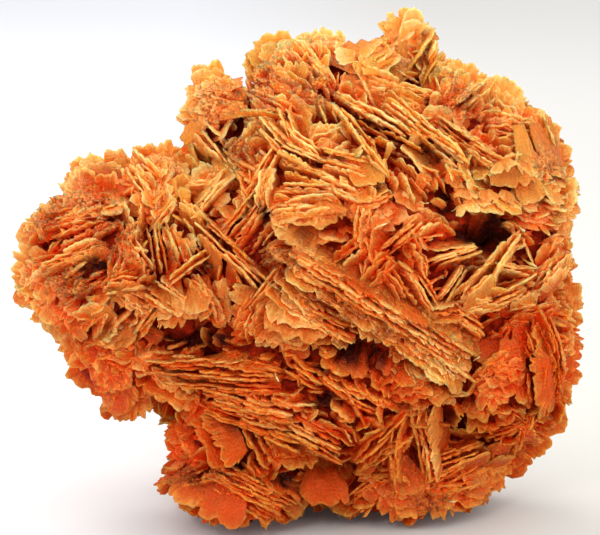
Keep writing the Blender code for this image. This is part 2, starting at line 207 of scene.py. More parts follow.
# %% The sheaves of the upper left
UPPER_LEFT = (
    Sheaf((-49, 66.5), (-46, 73.5), (3, 3), 70, reach=1.5),
    Sheaf((-47, 73), (-37, 75), (3, 3), 65, reach=1.5),
    Sheaf((-47.5, 71), (-38, 71.5), (1, 1), 60, deep=8, proud=1.5, piece=14, count=1),
    Sheaf((-36, 74.5), (-31, 69.5), (4, 6), 10),
    Sheaf((-36, 75), (-25, 77), (2, 2), 70, reach=1),
    Sheaf((-28, 76), (-25.5, 66), (3, 3), 45),
    Sheaf((-57, 58), (-54, 65.5), (2, 2), 70),
    Sheaf((-53, 60.5), (-41, 64.5), (3, 2), 10),
    Sheaf((-52, 56.5), (-41, 61), (3, 2), 15),
    Sheaf((-54.5, 50), (-42, 56.5), (4, 3), 20, proud=2),
    Sheaf((-59.5, 44), (-58.5, 52), (2, 3), 75),
    Sheaf((-49, 43.5), (-41.5, 48), (3, 3), 5),
    Sheaf((-49, 36), (-59, 44), (3, 2), 65),
    Sheaf((-46, 36), (-40, 41), (2, 2), -35),
    Sheaf((-39.5, 50), (-34.5, 61.5), (2, 2), 25, -1.5),
    Sheaf((-40, 48), (-34, 49.2), (2, 3), 15, proud=1),
    Sheaf((-33.8, 55.7), (-30.3, 50.2), (1, 2), 20),
    Sheaf((-32.5, 60.5), (-31, 69.5), (4, 3), 35),
    Sheaf((-30, 59.5), (-24.5, 66.5), (2, 2), 5),
    Sheaf((-24, 69), (-16.5, 73), (2, 2), 60),
    Sheaf((-20.5, 63), (-15, 69.5), (2, 2), -10),
    Sheaf((-25, 65), (-20, 62.5), (2, 2), 20),
)
print("sheaves of the upper left:", len(UPPER_LEFT))

# %% [markdown]
# Between the lobe and the middle, narrow blades cross each other like straws.

# %% The straws
STRAWS = (
    Sheaf((-22.5, 50.5), (-17, 43), (2, 2), 20),
    Sheaf((-27, 60), (-24, 52), (2, 2), 10),
    Sheaf((-30.5, 60), (-28.5, 50.5), (2, 3), 15),
    Sheaf((-28, 46.8), (-20, 53), (1.5, 2), 0, proud=1.5),
    Sheaf((-20.5, 60.5), (-7.5, 47.8), (4, 2.5), 5, proud=2),
    Sheaf((-14.5, 56.5), (-8.5, 64), (5, 4), 5),
    Sheaf((-29.5, 48), (-23.5, 44), (1.5, 1.5)),
    Sheaf((-32, 45), (-25, 40.5), (2, 2), proud=1),
    Sheaf((-29, 43), (-34.5, 35.5), (3, 3), 20),
    Sheaf((-18.5, 40), (-28, 38), (2, 2), 60, deep=9, proud=1.5, piece=6, count=2),
    Sheaf((-36.5, 44), (-31, 41), (3, 3), -30),
    Sheaf((-22, 49), (-17.5, 44), (2, 2), 20),
)
print("sheaves of the straws:", len(STRAWS))

# %% [markdown]
# The long sheaf across the middle is the cluster's boldest form. It starts at a brown tip, widens as it
# runs down to the right, and ends in a smooth pale face. Below it hang stacked pages with scalloped
# edges.

# %% The sheaves of the centre
CENTRE = (
    Sheaf((-8, 53), (-3, 54.5), (3, 3), 10),
    Sheaf((-3, 53.8), (35, 30.5), (2.5, 5), -12, proud=4, fan=8, piece=24),
    Sheaf((-3, 51), (34, 27), (4, 6), -35, proud=3, fan=8, piece=24),
    Sheaf((24, 34), (35, 27.5), (6, 5), -48, proud=4, piece=12),
    Sheaf((-4, 49), (4, 41), (4, 7), -20, proud=2),
    Sheaf((-6, 45), (2, 38), (2, 5), -30, proud=2),
    Sheaf((0, 42), (12, 36.5), (5, 6), -15, proud=2),
    Sheaf((-10, 43), (-4.5, 49), (1.5, 2.5), 0, proud=1),
    Sheaf((-11, 35), (-9.5, 44), (2, 2), 30, proud=1),
    Sheaf((-15, 36.5), (-11.5, 43.5), (2, 2), 40),
    Sheaf((4, 35.5), (-8, 38.5), (2, 2), 55, 1, proud=2.5, piece=14, count=2),
    Sheaf((3, 32.5), (-11, 34), (2, 2), 60, 1.5, proud=1.5, piece=16, count=2),
    Sheaf((11, 36.5), (16.5, 31.5), (1.5, 1.5), -30, proud=2),
    Sheaf((-2.5, 30.5), (9, 23), (3, 3), -10, proud=1),
    Sheaf((5, 26.5), (20, 20), (3, 4), -10),
)
print("sheaves of the centre:", len(CENTRE))

# %% [markdown]
# Under the lobe, long flat books lie nearly level over the foot.

# %% The sheaves of the lower left
LOWER_LEFT = (
    Sheaf((-36, 30.5), (-45, 33.5), (3, 2), 55),
    Sheaf((-46.5, 30), (-48.5, 35), (2, 2), 75),
    Sheaf((-34, 26.5), (-41, 23), (2, 2), 60),
    Sheaf((-41, 23), (-44.5, 29), (2, 2), 70),
    Sheaf((-32, 22.3), (-41, 21), (3, 3), 70),
    Sheaf((-31, 30), (-7, 28.5), (3, 4), -5),
    Sheaf((-27, 27), (-5, 25), (3, 4)),
    Sheaf((-21, 26), (-1, 19.5), (3, 5)),
    Sheaf((-20, 22), (0, 15), (3, 6), -5),
    Sheaf((-33, 25.5), (-23, 21), (4, 4), -45),
    Sheaf((-10, 17), (-6, 9), (5, 3), -20),
    Sheaf((4, 9), (-4, 8.5), (3, 3), 50),
    Sheaf((-18.5, 32.5), (-6.5, 29.5), (2, 2), 10),
)
print("sheaves of the lower left:", len(LOWER_LEFT))

# %% [markdown]
# The foot is a small lump at the lower left, with a rounded plate under it.

# %% The sheaves of the foot
FOOT = (
    Sheaf((-18.8, 9.5), (-23, 20.5), (1.5, 1.5), 45, -3, deep=7, proud=2.5, piece=20, count=2),
    Sheaf((-27, 11), (-28, 18.5), (3, 3), 70),
    Sheaf((-19, 9), (0, -0.5), (4, 5)),
    Sheaf((-16, 5), (-4, -2.5), (4, 4), -10),
    Sheaf((-29.5, 4.8), (-18, 8), (2, 5)),
    Sheaf((-10, -3.4), (-26, 3), (1, 1), 60, -3, deep=11, proud=4, piece=30, reach=0.5, count=1),
)
print("sheaves of the foot:", len(FOOT))

# %% [markdown]
# The wide base to the right carries most of the weight. Its lower edge shows redder faces.

# %% The sheaves of the base
BASE = (
    Sheaf((12, 1), (1.5, 1.5), (1, 1), 60, 0.5, deep=9, proud=2.5, piece=20, count=1),
    Sheaf((11, 1), (1.5, 1.5), (3, 3), 50),
    Sheaf((10, 1.5), (15, 5), (2, 2), 10),
    Sheaf((-1, 17.5), (11, 11), (5, 6)),
    Sheaf((10.5, 8.5), (19.5, 16.5), (1.5, 2), 0, proud=1),
    Sheaf((13, 8), (22, 14), (2, 2), 0, proud=1),
    Sheaf((12, 7), (19, 5.5), (2, 3), -20),
    Sheaf((20.5, 4), (20.5, 15.5), (2, 2), 10),
    Sheaf((28, 5), (25.5, 18), (3, 3), 25),
    Sheaf((29, 5.5), (38.5, 11), (4, 3)),
    Sheaf((30, 9.5), (40, 13.5), (3, 3), 10),
    Sheaf((35, 1.5), (20, 0), (3, 2), 60),
    Sheaf((19, -1), (12.5, 6), (2, 2), 60),
    Sheaf((46, 7), (37, 1.5), (3, 3), 70, reach=1.2),
    Sheaf((57, 21), (46, 7), (3, 3), 75, reach=1.8),
    Sheaf((45.5, 11), (48.5, 18), (2, 2), 10),
    Sheaf((40, 14.5), (49.5, 18.5), (2, 2)),
    Sheaf((48, 17.5), (52.5, 14), (2, 2), 20),
    Sheaf((36, 6), (41.5, 10), (2, 3), -20),
)
print("sheaves of the base:", len(BASE))

# %% [markdown]
# At the right, curved blades stand upright near the edge, and shell-like arcs lie inside them.

# %% The sheaves of the right side
RIGHT = (
    Sheaf((30.5, 24), (21.5, 22.5), (3, 3), 50),
    Sheaf((30, 19), (24, 17), (3, 3), 45),
    Sheaf((45.5, 22), (36.5, 22), (3, 3), 55),
    Sheaf((47, 26), (40, 27), (2, 2), 50),
    Sheaf((48.5, 37), (51.5, 21), (3, 2), -15, -1.5),
    Sheaf((49, 34), (50.5, 22), (1, 1), -65, proud=1.5, piece=16, count=1),
    Sheaf((52, 40), (55, 22), (3, 3), 0, -1.5),
    Sheaf((59.5, 48), (60, 38), (3, 3), 70, reach=0.8),
    Sheaf((60, 37), (57.5, 25), (3, 3), 70, reach=1),
    Sheaf((58, 57.5), (59.5, 49), (3, 3), 70),
    Sheaf((28.5, 40), (40, 37.5), (4, 4), -10, -2),
    Sheaf((30, 35.5), (39.5, 34.5), (3, 3), -20, -1),
    Sheaf((36.5, 26.5), (43.5, 33.5), (3, 3), 35),
    Sheaf((34.5, 45.5), (45.5, 57.5), (3.5, 2.5), 20, 1, proud=2, fan=4, piece=12),
    Sheaf((35.5, 45), (49.5, 47.5), (3, 4), 10, 2),
    Sheaf((40, 51.5), (50, 49.5), (2, 2), 10, 1),
    Sheaf((36, 41.5), (45, 43.5), (2, 3)),
    Sheaf((46, 41), (55, 42.5), (3, 4), 20),
    Sheaf((51, 50.5), (56.5, 55), (3, 3), 45),
    Sheaf((45, 60), (49.5, 55.5), (2, 2), 20),
    Sheaf((49, 60), (57, 60.5), (3, 3), -50, -1.5),
    Sheaf((57, 70.5), (49, 69), (2, 2), 55),
    Sheaf((49.5, 68.5), (41, 69.5), (2, 2), 50, 2, deep=7, proud=2, piece=5, count=2),
)
print("sheaves of the right side:", len(RIGHT))

# %% [markdown]
# The top right slopes up to a small crest. Its long books run down to the right, like those of the
# middle.

# %% The sheaves of the top right
TOP_RIGHT = (
    Sheaf((7, 87.5), (23, 78), (3, 4), 0, proud=1),
    Sheaf((18, 86), (35, 73), (5, 4), 0, proud=2),
    Sheaf((30, 81), (43, 72), (4, 4), 5),
    Sheaf((17, 97), (21.5, 102.5), (3, 3), 70),
    Sheaf((22, 102.5), (28.5, 98.5), (3, 3), 70),
    Sheaf((23, 102), (28.5, 94), (3, 3), 20),
    Sheaf((11.5, 94), (16.5, 99.5), (2, 2), 60),
    Sheaf((-10, 94), (-7.5, 99), (3, 3), 70, reach=1.5),
    Sheaf((-8, 99), (3, 101), (3, 3), 70, reach=1.2),
    Sheaf((3, 101), (9.5, 100), (3, 3), 65, reach=1),
    Sheaf((30, 95.5), (40, 92), (3, 3), 70, reach=0.5),
    Sheaf((40, 91), (48, 86), (3, 3), 70, reach=2),
    Sheaf((48, 86), (55.5, 80), (3, 3), 70),
    Sheaf((55, 81), (58.5, 74), (3, 3), 70, reach=1),
    Sheaf((58.5, 74), (59, 65), (3, 3), 70),
    Sheaf((60, 65.5), (58, 58), (2, 3), 70),
    Sheaf((36, 85.5), (40.5, 90), (3, 3)),
    Sheaf((42, 83), (51, 80.5), (3, 3), 10),
    Sheaf((40, 79), (51, 75), (3, 3), 30),
    Sheaf((49.5, 84), (53, 77), (3, 3)),
    Sheaf((14, 92), (28, 87), (4, 4), 20),
    Sheaf((22, 96), (17, 92), (4, 4), 40),
    Sheaf((8, 85), (19, 71), (2, 2.5), 0, proud=1),
    Sheaf((20.5, 75), (28, 67.5), (3, 3)),
    Sheaf((31, 74), (35, 64), (3, 3), -25),
    Sheaf((48, 61.5), (34, 62.5), (2, 2), 50, 1, deep=7, proud=1, piece=6, count=3),
    Sheaf((36, 68), (45, 64), (3, 3), 20),
    Sheaf((-1, 98), (7, 91), (2, 2), 10),
)
print("sheaves of the top right:", len(TOP_RIGHT))

# %% [markdown]
# Above the middle, short curved blades form a rosette around small dark hollows.

# %% The sheaves of the rosette
ROSETTE = (
    Sheaf((-12.5, 84), (-4, 83.5), (2, 2), 20),
    Sheaf((27, 65), (34, 60), (3, 3), 30),
    Sheaf((-7, 92), (2, 89.5), (3, 3), 30),
    Sheaf((-4.5, 72), (4, 69.5), (2, 2), 10, 1.5),
    Sheaf((-10.5, 66), (-4.5, 75.5), (2, 2)),
    Sheaf((5, 74), (14, 71.5), (4, 5)),
    Sheaf((21, 61), (13.5, 58), (3, 3), 45, 1, deep=8),
    Sheaf((19.5, 55), (26, 60.5), (3, 3)),
    Sheaf((13.5, 46.5), (19.5, 54), (3, 3), 20),
    Sheaf((25, 49), (30, 41.5), (3, 3)),
    Sheaf((-15, 75), (-9.5, 82.5), (2, 2), 25, proud=1),
    Sheaf((-8, 81), (3, 73), (3, 3), 0, 1.5, proud=2),
    Sheaf((-4, 83.5), (3, 76), (3, 3), 5, 1.5, proud=1),
    Sheaf((-10, 88), (-3, 85), (2, 2), 15),
    Sheaf((-15.5, 74.5), (-10.5, 65), (2, 3), -15, -1),
    Sheaf((-8, 65), (-6.5, 72.5), (3, 3), 10, proud=1),
    Sheaf((-4, 67.5), (7, 67), (3, 3), 10, proud=1),
    Sheaf((-5, 63.5), (6, 64.5), (3, 3), 10, proud=1),
    Sheaf((9.5, 60), (-4, 61), (3, 3), 50, 2, deep=8, proud=1.5, piece=14, count=3),
    Sheaf((4, 70), (12, 67), (3, 4), 10),
    Sheaf((3.5, 78.5), (9.5, 80.5), (3, 2), 20),
    Sheaf((13, 55), (14, 64), (3, 4), 15),
    Sheaf((-23, 83), (-22.5, 90), (3, 3), 70, reach=1.5),
    Sheaf((-22, 91), (-16, 92.5), (3, 3), 70, reach=2.2),
    Sheaf((-15.5, 91.5), (-11, 89), (3, 3), 50),
    Sheaf((-11.5, 92), (-8.5, 99), (3, 3), 70),
    Sheaf((-21, 80), (-15.5, 73.5), (3, 2), 10),
    Sheaf((20, 66), (14, 64), (4, 4), 35),
    Sheaf((24, 58), (27.5, 51), (2.5, 2.5), 25),
    Sheaf((31, 53), (39.5, 55.5), (4, 1.5), 0, proud=1),
    Sheaf((8, 52), (13, 56), (3, 3), 20),
    Sheaf((20, 49.5), (24, 43), (2, 3), 10),
    Sheaf((31, 44.5), (35.5, 51), (2, 2)),
)
print("sheaves of the rosette:", len(ROSETTE))

# %% [markdown]
# Each region becomes one mesh, so the regions are named here. Together they are the listed front.

# %% The regions of the front
REGIONS = {
    "upper_left": UPPER_LEFT,
    "straws": STRAWS,
    "centre": CENTRE,
    "lower_left": LOWER_LEFT,
    "foot": FOOT,
    "base": BASE,
    "right": RIGHT,
    "top_right": TOP_RIGHT,
    "rosette": ROSETTE,
}
print("sheaves placed by hand:", sum(len(sheaves) for sheaves in REGIONS.values()))

# %% [markdown]
# Some places are hollows, where no blade stands up and it is dark. Each is an ellipse of the picture. The
# outline has dents as well, where one looks past the cluster. There a notch keeps blades away from front
# to back.

# %% The hollows
class Hollow(NamedTuple):
    """A hollow in the front: across, rise, its half width and half height there, and how deep it goes."""
    across: float
    rise: float
    half_width: float
    half_height: float
    deep: float


HOLLOWS = (
    Hollow(40, 57.5, 7, 4.5, 20),
    Hollow(13, 32.5, 5, 4, 12),
    Hollow(-13.5, 12.5, 4, 5, 12),
    Hollow(-44, 51.5, 4, 2.5, 7),
    Hollow(27, 75, 5, 3, 9),
    Hollow(-22, 35.5, 9, 2, 8),
    Hollow(-2, 6, 3, 2.5, 9),
    Hollow(33, 17.5, 2.5, 3, 8),
    Hollow(1, 57, 2.5, 1.8, 8),
    Hollow(-18, 53, 3, 3, 8),
    Hollow(6, 22.5, 4, 2.5, 8),
    Hollow(51.5, 66, 3, 2.5, 6),
    Hollow(21.5, 53.2, 2, 2, 6),
    Hollow(16.8, 43.6, 3, 1.2, 6),
    Hollow(-9.7, 46.8, 1.6, 2.5, 6),
    Hollow(4.8, 29.2, 2.5, 1.5, 6),
    Hollow(-7, 61.5, 1.6, 2.4, 6),
    Hollow(31, 65, 2.5, 4, 6),
    Hollow(16.5, 67, 1.5, 1.5, 5),
    Hollow(55.5, 38.5, 1.2, 2.5, 5),
)
NOTCHES = (
    Hollow(-53.4, 18.4, 13, 13, 0),
    Hollow(-55.2, 30.4, 5.5, 6, 0),
    Hollow(-36, 13, 7.5, 5, 0),
    Hollow(-30.5, 17.5, 1.8, 2.2, 0),
    Hollow(-32, 9.5, 3, 2.5, 0),
    Hollow(-31, -3, 5.5, 6, 0),
    Hollow(-13.2, 93.5, 2.2, 3.5, 0),
    Hollow(12.5, 101, 3, 3.8, 0),
    Hollow(23, 109.6, 9, 4.8, 0),
    Hollow(1, 105, 12, 4.8, 0),
    Hollow(-26.8, 81.2, 4.4, 4.4, 0),
    Hollow(-62.5, 55, 4, 5, 0),
    Hollow(62.2, 60, 3.2, 12, 0),
)


def in_hollow(point, normal, share=1.0):
    """Whether a point is seen in a notch, or, at the front, inside this share of a hollow's mouth."""
    across, rise = seen_at(point)
    hollows = HOLLOWS + NOTCHES if normal.dot(TO_EYE) > 0 else NOTCHES
    off = [((across - h.across) / h.half_width, (rise - h.rise) / h.half_height) for h in hollows]
    return any(math.hypot(*pair) < share for pair in off)


print("hollows:", len(HOLLOWS), "and notches:", len(NOTCHES))

# %% [markdown]
# In space, a sheaf becomes a growth: where its middle blade's free edge runs, which way the blades point
# and which way the surface faces. Blades placed by sight mostly point to the eye, and a little along the
# surface's normal.

# %% Put the sheaves in space
class Growth(NamedTuple):
    """A sheaf in space: its edge's ends, the way its blades point, the surface's normal, and its sizes."""
    start: Vector
    end: Vector
    out: Vector
    normal: Vector
    wide: tuple
    region: str
    bend: float = 0.0
    deep: float = 12.0
    fan: float = 16.0
    piece: float = 8.0
    bulge: float = 0.0
    lift: Vector = Vector()
    count: int = 0

    def edge_at(self, share):
        """A place on the ground under the free edge, this share of the way along it."""
        return self.start.lerp(self.end, share) + TO_EYE * (self.bulge * 4 * share * (1 - share))


NORMAL_SHARE = 0.25


def front_growth(sheaf, region):
    """A sheaf of the front, set on the lumps."""
    start, normal_at_start = surface_at(*sheaf.start)
    end, normal_at_end = surface_at(*sheaf.end)
    normal = (normal_at_start + normal_at_end).normalized()
    along = (end - start).normalized()
    forward = normal * NORMAL_SHARE + TO_EYE
    forward = (forward - along * forward.dot(along)).normalized()
    out = Matrix.Rotation(math.radians(-sheaf.lean), 3, along) @ forward
    middle, _ = surface_at((sheaf.start[0] + sheaf.end[0]) / 2, (sheaf.start[1] + sheaf.end[1]) / 2)
    bulge = max(0.0, (middle - (start + end) / 2).dot(TO_EYE))
    lift = TO_EYE * sheaf.proud + out * sheaf.reach
    sizes = (sheaf.bend, sheaf.deep, sheaf.fan, sheaf.piece, bulge, lift, sheaf.count)
    return Growth(start, end, out, normal, sheaf.wide, region, *sizes)


front_growths = [front_growth(sheaf, region) for region, sheaves in REGIONS.items() for sheaf in sheaves]
print("sheaves of the front:", len(front_growths))

# %% [markdown]
# Nobody sees the sides and the back in one look at the front, so a rule finishes them. It spreads points
# evenly over each lump along a golden-angle spiral, leaves out those that lie inside another lump, and
# turns a sheaf by a seeded chance at each. The solid model was grown by the same rule and the same seed.

# %% The rule for the sides and the back
RULE_SEED = 11
RULE_SPACING = 18.5
RULE_LENGTH = (10.0, 18.0)
RULE_WIDTH = (2.5, 4.8)
RULE_LEAN = 35.0
RULE_SINK = 1.5
RULE_LOWEST = 3.0
FRONT_FACING = 0.1
GOLDEN_ANGLE = math.pi * (3 - math.sqrt(5))


def is_inside(point, lump, sink):
    """Whether the point lies deeper than sink inside the lump."""
    scaled = [(p - c) / (r - sink) for p, c, r in zip(point, lump.centre, lump.radii)]
    return Vector(scaled).length < 1


def spread_points(lump, spacing):
    """Points spread evenly over a lump, each with the surface's normal."""
    mean_radius = math.prod(lump.radii) ** (1 / 3)
    count = round(4 * math.pi * mean_radius ** 2 / spacing ** 2)
    for index in range(count):
        height = 1 - 2 * (index + 0.5) / count
        ring = math.sqrt(1 - height * height)
        turn = GOLDEN_ANGLE * index
        unit = Vector((ring * math.cos(turn), ring * math.sin(turn), height))
        yield Vector(lump.centre) + unit * Vector(lump.radii), (unit * reciprocal(lump.radii)).normalized()


def rule_growth(point, normal, chance):
    """A sheaf at this point of the sides or the back, turned and sized by chance."""
    turn = chance.uniform(0, math.pi)
    lean = math.radians(chance.uniform(-RULE_LEAN, RULE_LEAN))
    half_edge = chance.uniform(*RULE_LENGTH) / 2
    wide = chance.uniform(*RULE_WIDTH)
    along = Matrix.Rotation(turn, 3, normal) @ normal.orthogonal().normalized()
    out = Matrix.Rotation(lean, 3, along) @ normal
    start, end = point - along * half_edge, point + along * half_edge
    region = "back_left" if point.x < 0 else "back_right"
    return Growth(start, end, out, normal, (wide, wide), region)


def rule_growths():
    """The sheaves of the sides, back and underside."""
    chance = np.random.default_rng(RULE_SEED)
    growths = []
    for lump in LUMPS:
        for point, normal in spread_points(lump, RULE_SPACING):
            growth = rule_growth(point, normal, chance)
            hidden = any(is_inside(point, other, RULE_SINK) for other in LUMPS if other is not lump)
            if not hidden and point.z > RULE_LOWEST and normal.dot(TO_EYE) < FRONT_FACING:
                growths.append(growth)
    return growths


growths = front_growths + rule_growths()
print("sheaves placed by the rule:", len(growths) - len(front_growths))

# %% [markdown]
# The blades of one region become one mesh, because thousands of separate objects would be slow to handle.
# A small class gathers their points, and with each point its paint: a few numbers that the finish reads
# later.

# %% Gather shapes for one mesh
class Sheets:
    """Gathers the points, faces and paint of many blades, whose rings of points are column mm apart."""

    def __init__(self, column):
        self.column = column
        self.points = []
        self.faces = []
        self.paint = []
        self.count = 0

    def add(self, points, faces, paint):
        """Adds one closed shape: its points, its faces' numbers of points, and its paint at each point.

        The paint is how pale the point is, the shape's tint, and the point's place on the shape, in mm.
        """
        self.points.append(points)
        self.faces += [[self.count + corner for corner in face] for face in faces]
        self.paint.append(paint)
        self.count += len(points)


def hull_faces(rings, size):
    """The faces of a row of rings, each of this many points, with both ends closed."""
    faces = []
    for ring in range(rings - 1):
        near, far = ring * size, (ring + 1) * size
        faces += [[near + i, near + (i + 1) % size, far + (i + 1) % size, far + i] for i in range(size)]
    faces.append(list(range(size))[::-1])
    faces.append(list(range((rings - 1) * size, rings * size)))
    return faces


print("faces of a closed row of 3 rings of 4 points:", len(hull_faces(3, 4)))

# %% [markdown]
# No two crystals are alike, yet the lesson has to give the same cluster each time. So one generator with
# a fixed seed gives all that is left to chance. Where neighbours should differ only a little, a sum of a
# few crossing waves gives a smooth value, and numpy works it out for a whole array of points at once.

# %% Seeded chance and smooth waves
SEED = 5
WAVE_COUNT = 4
chance = np.random.default_rng(SEED)


def waves(points, length):
    """A smooth random value at each point, from a few crossing waves of about this length."""
    ways = chance.normal(size=(WAVE_COUNT, 3)) * (2 * math.pi / length / math.sqrt(3))
    phases = chance.uniform(0, 2 * math.pi, WAVE_COUNT)
    return np.sin(points @ ways.T + phases).sum(-1) / math.sqrt(WAVE_COUNT)


print("the seed of the front's chance:", SEED)

# %% [markdown]
# A blade has to end inside the mass. Where the mass is thin, a long blade would come out on the other
# side. So a blade is made shorter, step by step, until the middle and both ends of its buried edge lie
# inside a lump.

# %% How deep a blade may go
COVER = 1.5
SHORTER = (1.0, 0.8, 0.62, 0.48, 0.36)
lump_centres = np.array([lump.centre for lump in LUMPS])
lump_radii = np.array([lump.radii for lump in LUMPS]) - COVER


def buried_depth(middle, half_edge, out, deep):
    """How deep a blade may go so that its buried edge stays covered."""
    for share in SHORTER:
        tip = middle - out * deep * share
        tips = np.stack([tip - half_edge, tip, tip + half_edge])
        away = np.linalg.norm((tips[:, None] - lump_centres) / lump_radii, axis=2)
        if np.all(away.min(1) < 1):
            break
    return deep * share


print("the thinnest lump, mm from its middle to its side:", lump_radii.min() + COVER)

# %% [markdown]
# The free edge of a real blade is never a clean line. It is rounded off at both ends and ragged between
# them, and here and there a bit has broken off. A picture of an edge could fake that, but only from one
# side. Here the edge's points themselves are moved down by these amounts.

# %% The free edge of a blade
END_ROUNDING = 4
END_DROP = 0.4
RAGGED = 0.45
RAGGED_LENGTH = 2.5
EDGE_JITTER = 0.45
NOTCH = 1.2
NOTCH_CHANCE = 0.09


def edge_drop(share, from_middle, along, length, deep):
    """How far the free edge lies below its line at each column, in millimetres."""
    drop = min(deep, length) * END_DROP * np.abs(share) ** END_ROUNDING
    jitter = waves(from_middle[:, None] * along, RAGGED_LENGTH)
    jitter = jitter + chance.uniform(-EDGE_JITTER, EDGE_JITTER, len(share))
    drop += RAGGED * jitter
    drop += NOTCH * (chance.random(len(share)) < NOTCH_CHANCE)
    return drop


print("one column in", round(1 / NOTCH_CHANCE), "has a notch")

# %% [markdown]
# A blade gets thicker below its edge and then runs out inside the mass. It could be a flat plane, but
# that has no edge to catch the light. Here it is a ring of points carried along the edge, like the planks
# of a hull: down one face, round the buried edge and up the other face. Each row of points has its own
# thickness and paleness. A leaf, which is a large blade that shows its face, has more rows, because its
# face has to wave. At last each point moves a little by chance, since barite crumbles.

# %% Shape one blade
class Row(NamedTuple):
    """A row of points along a blade: how deep it lies in mm, and the shares that it has of the rest."""
    depth: float
    thick: float
    pale: float
    crumble: float


# A row's paleness is painted light at the free edge and painted shade further down the blade.
ROWS = (Row(0.0, 0.35, 1.0, 1.0), Row(0.5, 0.8, 0.74, 1.0), Row(2.2, 1.0, 0.5, 0.7))
LEAF_ROWS = ROWS + (Row(3.6, 1.0, 0.46, 0.8), Row(5.2, 1.0, 0.42, 0.8), Row(7.0, 1.0, 0.38, 0.8))
LAST_ROW = Row(0.0, 0.0, 0.3, 0.0)
FEWEST_COLUMNS = 3
OVERHANG = 1.12
TAPER = 0.55
CURL = 0.03
RIPPLE = 0.13
LEAF_RIPPLE = 0.38
RIPPLE_LENGTH = 4.0
CRUMBLE = 0.08
END_THINNING = 0.5
UNEVEN_THICKNESS = (0.8, 1.25)
UNEVEN_PALENESS = (0.6, 1.1)
# It sets the blades apart in the finish's noise, so that no two have the same marks.
OWN_PLACE_STEP = 0.37


def blade_paint(pale, tint, from_middle, depth, number):
    """The paint of a blade's points, ring by ring, as Sheets wants it."""
    pale = np.concatenate([pale, pale[-2::-1]])
    down = np.concatenate([depth, depth[:, -2::-1]], 1)
    sideways = np.repeat(from_middle, len(pale))
    own_place = [sideways, down.ravel(), np.full(down.size, number * OWN_PLACE_STEP)]
    return np.stack([np.tile(pale, len(from_middle)), np.full(down.size, tint), *own_place], 1)


def add_blade(sheets, start, end, out, deep, thick, tint=0.0, is_leaf=False):
    """One blade whose free edge runs between two points and whose faces lie along out."""
    start, end, out = np.array(start), np.array(end), np.array(out)
    length = np.linalg.norm(end - start)
    along = (end - start) / length
    out = out - along * out.dot(along)
    out /= np.linalg.norm(out)
    side = np.cross(along, out)
    deep = buried_depth((start + end) / 2, (end - start) / 2 * (1 - TAPER), out, deep)

    columns = max(FEWEST_COLUMNS, round(length * OVERHANG / sheets.column))
    share = np.linspace(-1, 1, columns + 1)
    from_middle = share * length / 2 * OVERHANG
    drop = edge_drop(share, from_middle, along, length, deep)
    rows = np.array((LEAF_ROWS if is_leaf else ROWS) + (LAST_ROW._replace(depth=deep),))
    depth = np.minimum(drop[:, None] + rows[:, 0], deep)
    reach = from_middle[:, None] * (1 - TAPER * depth / deep)
    sheet = (start + end) / 2 + reach[:, :, None] * along - depth[:, :, None] * out
    bow = chance.uniform(-CURL, CURL) * depth * depth
    bow = bow + (LEAF_RIPPLE if is_leaf else RIPPLE) * waves(sheet, RIPPLE_LENGTH)
    sheet = sheet + bow[:, :, None] * side

    half = rows[:, 1] * thick / 2 * (1 - END_THINNING * share ** END_ROUNDING)[:, None]
    half = half * chance.uniform(*UNEVEN_THICKNESS, half.shape)
    crumble = CRUMBLE * rows[:, 3, None]
    front = sheet + half[:, :, None] * side + chance.normal(size=sheet.shape) * crumble
    back = sheet - half[:, :, None] * side + chance.normal(size=sheet.shape) * crumble
    ring = np.concatenate([front, back[:, -2::-1]], 1)
    pale = rows[:, 2] * chance.uniform(*UNEVEN_PALENESS)
    paint = blade_paint(pale, tint, from_middle, depth, sheets.count)
    sheets.add(ring.reshape(-1, 3), hull_faces(*ring.shape[:2]), paint)


print("points round a blade:", 2 * len(ROWS) + 1, "and round a leaf:", 2 * len(LEAF_ROWS) + 1)

# %% [markdown]
# A sheaf is a stack of such blades. They are never quite parallel, and no blade keeps one clean edge for
# long, so each is laid in pieces of a few millimetres that overlap and differ a little. Where a sheaf
# leans, its blades stand in steps, the nearest one lowest, which shows them as terraces instead of one
# bare face. Blades at the sides and back have wider columns, since nobody looks at them from as near.

# %% Lay one blade of a sheaf
FRONT_COLUMN = 0.62
BACK_COLUMN = 0.9
PIECE_OVERLAP = 0.12
PIECES_VARY = 0.4
SHALLOWEST = 6.0
SHEAF_THICK = (0.42, 0.88)
MOUTH_SHARE = 0.85
BLADE_SLIDE = 0.06
MOST_SLIDE = 1.0
BLADE_RISE = (-0.8, 0.4)
LONGER_OR_SHORTER = 0.1
BLADE_TINT = 0.5
PIECE_TINT = 0.25
PIECE_WANDER = 0.25
PIECE_RISE = 0.35
PIECE_TURN = 0.06
blades = {name: Sheets(FRONT_COLUMN) for name in REGIONS}
blades.update({name: Sheets(BACK_COLUMN) for name in ("back_left", "back_right")})


